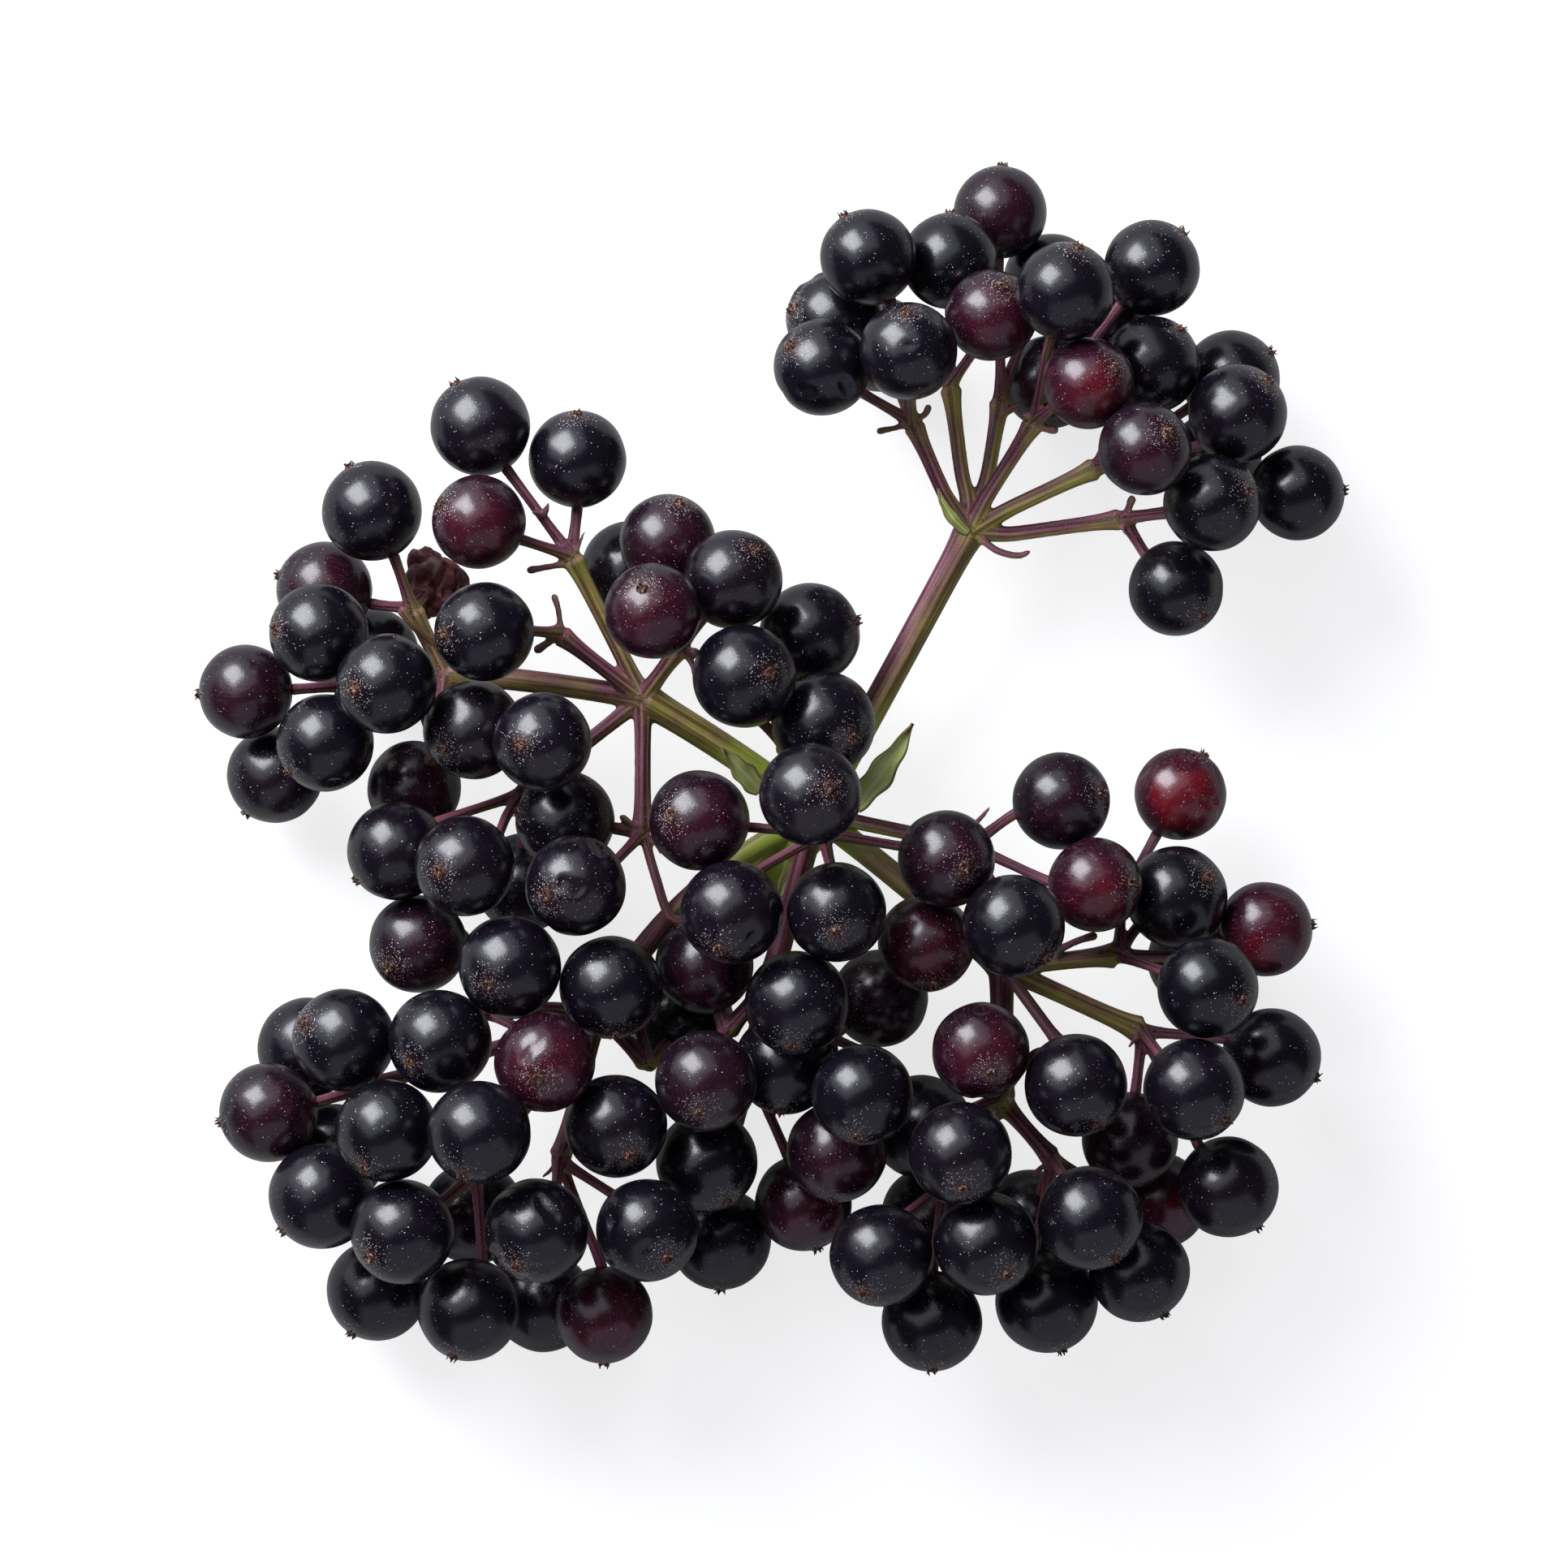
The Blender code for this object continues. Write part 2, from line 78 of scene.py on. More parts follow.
RIPE, DARK, WINE, RED, WITHERED = "ripe", "dark", "wine", "red", "withered"
FULLNESS = {RIPE: 1.0, DARK: 0.97, WINE: 0.95, RED: 0.93, WITHERED: 0.6}
SIZE_SPREAD = 0.02

# A berry is (x, y, height, ripeness) and, where its calyx is seen, the calyx's lean in X and Y.
# A ray is the fork that it grows from, a bend on its way, its own fork, its berries' radius and sprays.
Ray = namedtuple("Ray", "name grows_from bend fork berry_radius sprays")
Spray = namedtuple("Spray", "fork berries")

RAYS = [
    Ray("top", "hub", (8.5, 5.5, 9), (15.5, 18.5, 10), 3.65, [
        Spray((11, 27, 11), [
            (4, 31, 15, RIPE, (-0.65, 0.4)),
            (10.5, 32, 19, RIPE, (-0.05, 0.75)),
            (5, 35, 9, RIPE, (-0.9, 0.2)),
            (7.5, 39.5, 14, RIPE, (-0.5, 0.85)),
            (8.5, 33.5, 4, RIPE),
        ]),
        Spray((14, 30, 9), [
            (14, 39.5, 9, RIPE, (0, 1)),
            (17, 35, 18, WINE, (0.25, 0.6)),
        ]),
        Spray((18, 29, 8), [
            (18, 43.5, 8, DARK, (0.05, 1)),
            (22, 38.5, 4, RIPE),
        ]),
        Spray((20.5, 27, 12), [
            (22.5, 36.5, 20, RIPE, (0.25, 0.85)),
            (24.5, 29.5, 21, WINE, (0.55, 0.3)),
            (29.5, 38.5, 14, RIPE, (0.65, 0.75)),
            (26, 34.5, 7, RIPE),
            (22, 30.5, 4, DARK),
        ]),
        Spray((25.5, 23.5, 11), [
            (29.5, 31.5, 13, RIPE, (0.6, 0.7)),
            (28.5, 24.5, 21, DARK, (0.45, 0.3)),
            (36, 30.5, 8, RIPE, (0.8, 0.55)),
            (36, 27.5, 15, RIPE, (0.6, 0.65)),
            (35, 24.5, 4, DARK),
        ]),
        Spray((27.5, 19.5, 10), [
            (34, 20.5, 18, RIPE, (0.7, 0.2)),
            (41, 21.5, 11, RIPE, (1, 0.05)),
            (31.5, 14, 12, RIPE, (0.55, -0.6)),
        ]),
    ]),
    Ray("left", "hub", (-3, 2.5, 9), (-10, 5.5, 11), 3.75, [
        Spray((-15.5, 16.5, 14), [
            (-22.5, 26.5, 15, RIPE, (-0.5, 0.85)),
            (-15, 24, 14, RIPE, (0, 0.9)),
            (-22.5, 19, 18, WINE, (-0.8, 0.35)),
        ]),
        Spray((-16.5, 10.5, 14), [
            (-22, 10.5, 20, RIPE, (-0.8, -0.05)),
        ]),
        Spray((-19.5, -2, 10), [
            (-17.5, 2, 21, RIPE, (-0.4, -0.05)),
            (-29, -6.5, 13, RIPE, (-0.8, -0.6)),
            (-23.5, -7.5, 20, RIPE, (-0.5, -0.1)),
            (-19.5, -9, 4, RIPE),
        ]),
        Spray((-10, -5, 12), [
            (-16, -4, 11, RIPE),
            (-15, -9, 20, RIPE, (-0.55, -0.2)),
        ]),
        Spray((-7, 9.5, 14), [
            (-9, 12, 22, WINE, (-0.2, 0.45)),
            (-11, 15.5, 9, RIPE),
            (-8, 17.5, 15, DARK, (0.25, 0.8)),
            (-3, 14.5, 21, RIPE, (0.45, 0.6)),
        ]),
    ]),
    Ray("far_left", "left", (-18, 7.5, 9.5), (-25.5, 7.5, 9.5), 3.7, [
        Spray((-28, 12.5, 11), [
            (-31, 20, 13, RIPE, (-0.45, 0.9)),
            (-35, 14, 8, DARK, (-0.95, 0.3)),
            (-26.5, 14.5, 6, WITHERED),
        ]),
        Spray((-33, 6.5, 9), [
            (-35, 10.5, 15, RIPE, (-0.85, 0.05)),
            (-41, 6, 10, DARK, (-1, -0.05)),
            (-34.5, 2, 15, RIPE, (-0.75, -0.6)),
            (-39, -0.5, 6, RIPE, (-0.6, -0.8)),
            (-31.5, 9, 4, RIPE),
        ]),
        Spray((-26, 1.5, 11.5), [
            (-29.5, 6.5, 20, RIPE, (-0.6, -0.1)),
            (-28, -1.5, 8, DARK),
            (-23, 3, 17, RIPE, (-0.6, -0.4)),
        ]),
    ]),
    Ray("middle", "hub", None, HUB, 3.8, [
        Spray((4, -5, 18), [
            (3, -2, 27, RIPE, (0.35, 0.15)),
            (-5.5, -4, 20, DARK, (-0.55, 0.1)),
            (-3, -11, 22, RIPE, (-0.25, -0.7)),
            (5, -11, 22, RIPE, (0, -0.4)),
            (13.5, -7, 21, DARK, (0.35, -0.15)),
        ]),
        Spray((1, 2, 15), [
            (-2, 7, 22, RIPE, (0.5, 0.05)),
            (3, 10.5, 14, RIPE, (0.95, 0.25)),
            (4, 3.5, 15, RIPE, (0.55, -0.3)),
        ]),
        Spray((15.5, -6, 13), [
            (22.5, -2.5, 14, DARK, (0.8, 0.15)),
            (25, -9, 16, WINE, (0.75, 0.05)),
            (18.5, -12, 22, RIPE, (0.6, -0.65)),
            (12, -13.5, 16, WINE, (0.15, -0.85)),
        ]),
    ]),
    Ray("lower_left", "hub", (-9.5, -9.5, 9), (-13.5, -19, 10), 3.9, [
        Spray((-32, -25, 10), [
            (-33, -21, 16, RIPE, (-0.75, 0.35)),
            (-36.5, -22, 7, RIPE),
            (-39, -27, 11, DARK, (-1, -0.2)),
            (-35, -33, 12, RIPE, (-0.75, -0.65)),
            (-34.5, -30.5, 4, RIPE),
            (-29.5, -28, 19, RIPE, (-0.4, -0.7)),
        ]),
        Spray((-22, -19, 11), [
            (-25.5, -21, 18, RIPE, (-0.55, -0.4)),
            (-20, -15.5, 20, RIPE, (-0.4, -0.35)),
            (-27.5, -13.5, 13, DARK, (-0.55, -0.45)),
            (-17.5, -22.5, 20, WINE, (-0.1, -0.3)),
        ]),
        Spray((-23, -31.5, 11), [
            (-22, -27.5, 20, RIPE, (-0.3, -0.8)),
            (-28.5, -35.5, 18, RIPE, (-0.6, -0.45)),
            (-23.5, -42, 13, RIPE, (-0.3, -0.9)),
            (-31, -41, 6, RIPE, (-0.5, -0.85)),
            (-23.5, -35, 4, RIPE),
        ]),
        Spray((-16.5, -30.5, 11), [
            (-12, -27.5, 19, RIPE, (0.3, -0.55)),
            (-18, -35.5, 20, RIPE, (-0.35, -0.65)),
            (-9.5, -35.5, 19, RIPE, (0.4, -0.5)),
            (-13, -42.5, 12, WINE, (0, -1)),
            (-18, -42, 4, RIPE),
        ]),
        Spray((-9.5, -23, 13.5), [
            (-12.5, -17, 20, RIPE, (0.1, -0.9)),
            (-7, -20, 7, RIPE),
        ]),
    ]),
    Ray("lower", "hub", (2, -9.5, 9), (0, -16.5, 10), 3.85, [
        Spray((-3.5, -20.5, 13.5), [
            (2, -18, 20, RIPE, (-0.1, -0.8)),
            (-5, -15.5, 11, DARK),
            (-5, -24, 20, DARK, (-0.1, -0.6)),
        ]),
        Spray((-1.5, -24, 9), [
            (1, -23, 10, RIPE, (-0.1, -0.95)),
            (-5, -30.5, 13, RIPE, (0.4, -0.8)),
            (-4, -37, 6, RIPE, (0, -1)),
            (2.5, -34, 8, WINE, (0.3, -0.95)),
        ]),
        Spray((4.5, -21, 10), [
            (7, -25, 21, RIPE, (-0.1, -0.8)),
            (5, -29.5, 13, DARK, (-0.1, -0.95)),
            (8.5, -18, 8, DARK),
        ]),
    ]),
    Ray("right", "hub", (10.5, -8.5, 9), (18, -15.5, 10), 3.8, [
        Spray((27, -14.5, 12), [
            (32, -2, 9, RED, (0.5, 0.85)),
            (31.5, -10, 13, RIPE, (0.6, 0.4)),
            (38.5, -12.5, 11, WINE, (1, 0.1)),
            (33.5, -17, 20, RIPE, (0.65, -0.25)),
            (33.5, -15, 4, RIPE),
        ]),
        Spray((29, -20.5, 10), [
            (39, -22.5, 11, RIPE, (0.9, -0.4)),
            (32.5, -24.5, 20, RIPE, (0.6, -0.6)),
            (28, -29, 10, DARK),
            (35.5, -32.5, 13, RIPE, (0.6, -0.8)),
        ]),
    ]),
    Ray("lower_right", "right", (18.5, -20.5, 9), (18, -26, 10), 3.85, [
        Spray((17.5, -25.5, 16), [
            (17, -22, 20, WINE, (0.2, -0.45)),
            (14.5, -29.5, 21, RIPE, (0.05, -0.65)),
            (12, -28.5, 9, RIPE),
            (22.5, -24, 20, RIPE, (0.4, -0.75)),
        ]),
        Spray((13.5, -32.5, 11), [
            (8.5, -37.5, 18, RIPE, (-0.35, -0.7)),
            (16.5, -36.5, 20, RIPE, (0.4, -0.55)),
            (12.5, -43, 12, RIPE, (0, -0.95)),
            (12.5, -35, 4, RIPE),
        ]),
        Spray((22, -30.5, 11), [
            (24.5, -34.5, 20, RIPE, (0.45, -0.75)),
            (21.5, -41.5, 12, RIPE, (0.3, -0.95)),
            (28.5, -39, 13, RIPE, (0.5, -0.85)),
            (20.5, -35.5, 4, RIPE),
            (30.5, -34, 5, WINE),
        ]),
    ]),
]

BERRY_PUSH = (0.3, 0.3, 1.0)  # crowded berries rather rise or sink than move aside
BERRY_ROUNDS, STALK_ROUNDS = 300, 120
HOME_PULL = 0.06  # how far back home a berry goes in the first round, as a share of its way
STALK_STIFFNESS = 0.3  # how much of a bend is straightened in each round
GROWTH_SEED = 11


class Berry:
    """One fruit: its centre, its radius, its ripeness, and the way that its calyx faces."""

    def __init__(self, ray, spray, row, rng):
        x, y, z, self.ripeness, *lean = row
        self.spray_fork = np.array(spray.fork, float)
        self.home = np.array((x, y, z), float)
        spread = rng.uniform(1 - SIZE_SPREAD, 1 + SIZE_SPREAD)
        self.radius = ray.berry_radius * FULLNESS[self.ripeness] * spread
        self.lean = lean[0] if lean else None

    def face(self, place):
        """Settles the berry at its place. Its calyx leans as given, or else straight away from its fork."""
        self.place = place
        if self.lean is None:
            axis = place - self.spray_fork
        else:
            tilt = min(1.0, math.hypot(*self.lean))
            axis = np.array((*self.lean, math.sqrt(1 - tilt * tilt)))
        self.axis = axis / np.linalg.norm(axis)
        self.stem_end = self.place - self.axis * (self.radius - SINK)


class Stalk:
    """A stretch of stem from one fork to the next, or to a berry: a route of points and a radius."""

    def __init__(self, start, node, route, radius):
        self.start, self.node, self.radius = start, node, radius
        route = np.array(route, float)
        along = distance_along(route)
        count = max(3, round(along[-1] / STALK_STEP) + 1)
        self.points = points_at(route, np.linspace(0, along[-1], count))


def distance_along(route):
    """How far along the route each of its points is."""
    steps = np.linalg.norm(np.diff(route, axis=0), axis=1)
    return np.concatenate([[0], np.cumsum(steps)])


def points_at(route, distances):
    """The points that lie this far along the route."""
    along = distance_along(route)
    return np.array([np.interp(distances, along, route[:, axis]) for axis in range(3)]).T


def push_apart(places, radii, others, other_radii, room, skip=False):
    """For each ball, the sum of the shifts that would leave it that much room from each other ball."""
    apart = places[:, None] - others[None]
    distance = np.linalg.norm(apart, axis=2) + 1e-9
    overlap = radii[:, None] + other_radii[None] + room - distance
    overlap = np.where(skip, 0, np.clip(overlap, 0, None))
    return (apart * (overlap / distance)[:, :, None]).sum(axis=1)


def joined(stalks):
    """The points of all the stalks in one array, with each point's radius and the number of its stalk."""
    points = np.concatenate([stalk.points for stalk in stalks])
    radii = np.concatenate([np.full(len(stalk.points), stalk.radius) for stalk in stalks])
    owner = np.concatenate([np.full(len(stalk.points), i) for i, stalk in enumerate(stalks)])
    return points, radii, owner


def settle_berries(berries, stems):
    """Moves the berries clear of each other, of the main stems and of the surface that they lie on."""
    home = np.array([berry.home for berry in berries])
    radii = np.array([berry.radius for berry in berries])
    stem_points, stem_radii, _ = joined(stems)
    itself = np.eye(len(berries), dtype=bool)
    places = home.copy()
    for step in range(BERRY_ROUNDS):
        shift = 0.5 * push_apart(places, radii, places, radii, GAP, itself)
        shift += 0.5 * push_apart(places, radii, stem_points, stem_radii, STALK_ROOM)
        places += shift * BERRY_PUSH
        places[:, :2] += (home - places)[:, :2] * HOME_PULL * (1 - step / BERRY_ROUNDS)
        places[:, 2] = np.maximum(places[:, 2], radii)
    for berry, place in zip(berries, places):
        berry.face(place)


def settle_stalks(stalks, berries, forks):
    """Eases every stalk round the berries and the other stalks, keeping its ends where they are."""
    points, radii, owner = joined(stalks)
    inner = np.nonzero((owner[1:-1] == owner[:-2]) & (owner[1:-1] == owner[2:]))[0] + 1
    fork_places = np.array(list(forks.values()), float)
    clear = 0.8 * np.array([reach_of(name) for name in forks])
    near = (np.linalg.norm(points[:, None] - fork_places[None], axis=2) < clear).astype(int)
    family = (owner[:, None] == owner[None]) | (near @ near.T > 0)
    places = np.array([berry.place for berry in berries])
    berry_radii = np.array([berry.radius for berry in berries])
    for _ in range(STALK_ROUNDS):
        shift = push_apart(points, radii, places, berry_radii, STALK_ROOM)
        shift += 0.5 * push_apart(points, radii, points, radii, STALK_ROOM, family)
        points[inner] += shift[inner]
        points[inner] += STALK_STIFFNESS * ((points[inner - 1] + points[inner + 1]) / 2 - points[inner])
        points[inner, 2] = np.maximum(points[inner, 2], radii[inner])
    for i, stalk in enumerate(stalks):
        stalk.points = points[owner == i]


def reach_of(fork):
    """How far from this fork its stems may touch."""
    return HUB_REACH if fork == "hub" else FORK_REACH


def grow():
    """The whole bunch: its berries by spray, its stalks, and its forks by name."""
    rng = random.Random(GROWTH_SEED)
    forks = {"hub": HUB}
    stems = [Stalk(None, "peduncle", PEDUNCLE_ROUTE, PEDUNCLE_RADIUS)]
    pedicels, sprays = [], {}
    for ray in RAYS:
        if ray.bend:
            forks[ray.name] = ray.fork
            route = [forks[ray.grows_from], ray.bend, ray.fork]
            stems.append(Stalk(ray.grows_from, ray.name + "_ray", route, RAY_RADIUS))
        for number, spray in enumerate(ray.sprays, 1):
            name = f"{ray.name}_spray_{number}"
            forks[name] = spray.fork
            start = ray.name if ray.bend else ray.grows_from
            stems.append(Stalk(start, name, [ray.fork, spray.fork], BRANCH_RADIUS))
            sprays[name] = [Berry(ray, spray, row, rng) for row in spray.berries]
    berries = [berry for spray in sprays.values() for berry in spray]
    settle_berries(berries, stems)
    for name, spray in sprays.items():
        for berry in spray:
            lead = berry.stem_end - berry.axis * PEDICEL_LEAD
            pedicels.append(Stalk(name, name, [forks[name], lead, berry.stem_end], PEDICEL_RADIUS))
    stalks = stems + pedicels
    settle_stalks(stalks, berries, forks)
    return sprays, stalks, forks


sprays, stalks, forks = grow()


# --- The stems -------------------------------------------------------------------------------------
# Fresh green-purple stems: the rays, their branches and the pedicels swell into one skin at each fork.
# Where a berry dropped, a short stub with a clubbed end is left. Fine ribs run along every stem.

MM = 0.001  # the places above are in millimetres, the scene is in metres


def linear(hex_colour):
    """An sRGB hex value as the linear colour that a shader takes."""
    parts = [int(hex_colour[i:i + 2], 16) / 255 for i in (1, 3, 5)]
    return (*[part / 12.92 if part <= 0.04045 else ((part + 0.055) / 1.055) ** 2.4 for part in parts], 1.0)


def add(tree, kind, inputs=(), stops=(), **settings):
    """Adds a node. Its inputs come in order, or by name or number: a socket to link, a node for its
    first output, or a value. A map range takes its value, the range it is in and the range it goes
    to. Stops are the places and the sRGB colours of a colour ramp."""
    node = tree.nodes.new(kind)
    for name, value in settings.items():
        setattr(node, name, value)
    for key, value in inputs.items() if isinstance(inputs, dict) else enumerate(inputs):
        if isinstance(value, bpy.types.Node):
            value = value.outputs[0]
        if isinstance(value, bpy.types.NodeSocket):
            tree.links.new(value, node.inputs[key])
        else:
            node.inputs[key].default_value = value
    for end in (0, -1) if stops else ():
        ramp_end = node.color_ramp.elements[end]
        ramp_end.position, ramp_end.color = stops[end][0], linear(stops[end][1])
    for position, hex_colour in stops[1:-1]:
        node.color_ramp.elements.new(position).color = linear(hex_colour)
    return node


def new_tree(name, inputs):
    """A Geometry Nodes tree with a geometry in and out, and the named inputs after it."""
    tree = bpy.data.node_groups.new(name, "GeometryNodeTree")
    tree.interface.new_socket("Geometry", in_out="INPUT", socket_type="NodeSocketGeometry")
    tree.interface.new_socket("Geometry", in_out="OUTPUT", socket_type="NodeSocketGeometry")
    for label, kind in inputs.items():
        tree.interface.new_socket(label, in_out="INPUT", socket_type="NodeSocket" + kind)
    return tree, tree.nodes.new("NodeGroupInput")


def grow_with(obj, tree, values):
    """Puts the tree on the object as a modifier, with its inputs set by their sockets' identifiers."""
    modifier = obj.modifiers.new(tree.name, "NODES")
    modifier.node_group = tree
    for item in tree.interface.items_tree:
        if item.in_out == "INPUT" and item.name in values:
            modifier[item.identifier] = values[item.name]


def settled(obj):
    """The object's evaluated mesh as its plain mesh, with no modifier left on it."""
    graph = bpy.context.evaluated_depsgraph_get()
    ready = obj.evaluated_get(graph)
    mesh = bpy.data.meshes.new_from_object(ready, preserve_all_data_layers=True, depsgraph=graph)
    obj.modifiers.clear()
    obj.data = mesh
    mesh.name = obj.name
    return obj


def put(name, data):
    """A new object with this data, in the scene."""
    obj = bpy.data.objects.new(name, data)
    bpy.context.scene.collection.objects.link(obj)
    return obj


def points_object(name, points, edges, attributes):
    """A mesh of points and edges only, with an attribute on each point for every named list."""
    mesh = bpy.data.meshes.new(name)
    mesh.from_pydata([tuple(point) for point in points], edges, [])
    for label, values in attributes.items():
        values = np.array(values, float)
        kind, field = ("FLOAT", "value") if values.ndim == 1 else ("FLOAT_VECTOR", "vector")
        mesh.attributes.new(label, kind, "POINT").data.foreach_set(field, values.ravel())
    return put(name, mesh)


def new_material(name, roughness, ior):
    """A material and its tree, with one Principled shader that holds what is the same all over it."""
    material = bpy.data.materials.new(name)
    material.use_nodes = True
    shader = material.node_tree.nodes["Principled BSDF"]
    shader.inputs["Roughness"].default_value = roughness
    shader.inputs["IOR"].default_value = ior
    shader.inputs["Metallic"].default_value = 0.0
    return material, material.node_tree, shader


# Each stem or kind of stem: its girth against the plan's, and how green it is.
STEM_KINDS = {
    "peduncle": (1.0, 0.8), "top_ray": (0.95, 0.62), "left_ray": (1.0, 0.85), "far_left_ray": (0.78, 0.7),
    "lower_left_ray": (0.8, 0.7), "lower_ray": (0.78, 0.05), "right_ray": (0.85, 0.5),
    "lower_right_ray": (0.8, 0.3), "branch": (0.8, 0.36), "pedicel": (0.84, 0.12),
    "top_spray_2": (0.8, 0.7), "top_spray_3": (0.8, 0.7), "top_spray_5": (0.85, 0.85),
    "left_spray_1": (0.85, 0.65), "left_spray_2": (0.8, 0.1), "left_spray_4": (0.85, 0.3),
    "right_spray_1": (0.95, 0.75), "right_spray_2": (1.0, 0.8), "lower_left_spray_4": (0.85, 0.8),
}
FORK_FLARE = 0.75  # how much wider a branch or a pedicel is where it meets a fork
END_FLARE = 0.3  # and a pedicel at its berry, or a ray or the peduncle at either end
CLUB, POINT = 0.9, -0.8  # the same at the end of a stub: a swollen scar, or a tip that thins away
FLARE_LENGTH, STUB_FLARE_LENGTH = 1.1, 0.45
DOME = 0.45  # how far before its end a stem starts to round off
SWEEP_STEP, SWEEP_SIDES = 0.15, 16
SKIN_VOXEL, SKIN_SMOOTHING = 0.14, 7
BLEND_ROUNDS = 70  # how softly one stem's colour passes into the next

# What is left of lost berries and of tiny bracts: the fork's name, the route, the radius and the end.
STUBS = [
    ("top_spray_1", [(11.2, 26.9, 11.2), (9.6, 26.5, 11.8), (8.1, 26.2, 12.0)], 0.24, CLUB),
    ("top_spray_1", [(11.2, 27.2, 11.2), (12.0, 27.6, 11.8), (12.3, 28.4, 12.2)], 0.24, CLUB),
    ("top_spray_3", [(18.0, 27.8, 8.4), (18.8, 28.1, 8.8), (19.8, 28.8, 9.2)], 0.3, POINT),
    ("top_spray_4", [(20.5, 27.0, 12.0), (20.0, 27.3, 12.6), (19.4, 27.5, 12.9)], 0.26, CLUB),
    ("top_spray_4", [(20.5, 26.8, 12.0), (21.5, 26.4, 12.6), (22.4, 26.3, 12.9)], 0.3, CLUB),
    ("top_spray_6", [(27.5, 19.5, 10.0), (27.9, 20.4, 10.8), (28.2, 21.3, 11.4)], 0.28, CLUB),
    ("top_spray_6", [(27.3, 19.3, 10.0), (27.5, 18.5, 10.9), (28.1, 17.9, 11.2)], 0.18, POINT),
    ("top_spray_1", [(16.2, 18.1, 10.4), (17.6, 17.0, 10.9), (19.3, 16.6, 11.1), (20.4, 17.1, 11.4)], 0.3,
     POINT),
    ("left_spray_1", [(-15.7, 15.9, 14.0), (-17.4, 15.6, 14.5), (-19.0, 15.3, 14.7)], 0.26, CLUB),
    ("left_spray_1", [(-15.2, 16.5, 14.0), (-14.7, 17.8, 14.6), (-14.3, 18.6, 15.0)], 0.18, POINT),
    ("left_spray_1", [(-17.6, 19.7, 14.6), (-18.3, 19.8, 15.0), (-18.7, 19.9, 15.3)], 0.26, POINT),
    ("left_spray_1", [(-17.6, 19.7, 14.6), (-17.3, 20.3, 15.0), (-17.2, 20.8, 15.2)], 0.24, POINT),
    ("left_spray_2", [(-16.3, 10.7, 14.0), (-16.5, 12.4, 14.7), (-16.9, 13.6, 15.0)], 0.24, CLUB),
    ("left_spray_2", [(-16.4, 10.4, 14.0), (-17.5, 9.6, 14.6), (-18.4, 9.0, 14.8)], 0.3, CLUB),
    ("left_spray_4", [(-10.0, -5.0, 12.0), (-11.0, -4.2, 12.8), (-11.8, -3.6, 13.0)], 0.24, CLUB),
    ("left_spray_4", [(-10.0, -5.0, 12.0), (-9.0, -5.8, 12.6), (-8.5, -6.9, 12.9)], 0.2, POINT),
    ("left_spray_4", [(-10.0, -4.8, 12.0), (-9.0, -8.3, 13.2), (-7.7, -11.6, 13.4), (-5.4, -11.4, 13.0)],
     0.4, CLUB),
    ("left_spray_4", [(-7.8, -11.5, 13.2), (-8.9, -13.0, 12.6), (-10.6, -15.2, 12.0)], 0.5, CLUB),
    ("left_spray_5", [(-7.0, 9.3, 14.0), (-6.2, 9.0, 14.9), (-5.5, 8.9, 15.3)], 0.34, CLUB),
    ("left_spray_5", [(-6.6, 8.9, 14.2), (-6.0, 7.8, 15.0), (-6.0, 6.7, 15.2)], 0.26, POINT),
    ("far_left_spray_1", [(-26.6, 9.9, 10.5), (-27.9, 11.2, 12.0), (-28.9, 12.6, 12.4)], 0.34, CLUB),
    ("middle_spray_3", [(15.5, -4.6, 13.0), (16.3, -3.8, 13.7), (17.1, -2.8, 14.0)], 0.22, POINT),
    ("right_spray_1", [(18.4, -15.9, 12.2), (20.2, -18.4, 13.4), (22.4, -21.4, 15.0)], 0.5, CLUB),
    ("right_spray_1", [(22.2, -14.2, 11.8), (23.8, -13.4, 12.6), (25.4, -12.9, 13.0)], 0.3, CLUB),
    ("right_spray_2", [(29.0, -20.5, 10.0), (28.2, -21.3, 11.0), (27.6, -22.0, 11.4)], 0.2, POINT),
    ("lower_left_spray_1", [(-32.0, -25.0, 10.0), (-31.3, -26.2, 11.0), (-30.9, -27.0, 11.3)], 0.22, CLUB),
    ("lower_left_spray_4", [(-16.5, -30.5, 11.0), (-17.3, -31.4, 11.8), (-18.1, -32.0, 12.0)], 0.2, POINT),
    ("lower_right_spray_1", [(17.5, -25.5, 16.0), (16.6, -26.2, 16.8), (15.8, -26.6, 17.2)], 0.24, CLUB),
    ("lower_right_spray_3", [(22.0, -30.5, 11.0), (21.0, -31.1, 11.7), (20.3, -31.8, 12.0)], 0.22, CLUB),
    ("lower_spray_2", [(-1.5, -24.0, 9.0), (-0.7, -24.9, 9.7), (-0.1, -25.6, 10.0)], 0.22, POINT),
]
# The pieces of stem, and the rays that grow together in each.
FAMILIES = {
    "peduncle": ["peduncle"], "top": ["top"], "left": ["left", "far_left"], "middle": ["middle"],
    "lower_left": ["lower_left"], "lower": ["lower"], "right": ["right", "lower_right"],
}


def ray_of(node):
    """The name of the ray that a stem or a spray belongs to."""
    return node.removesuffix("_ray").split("_spray_")[0]


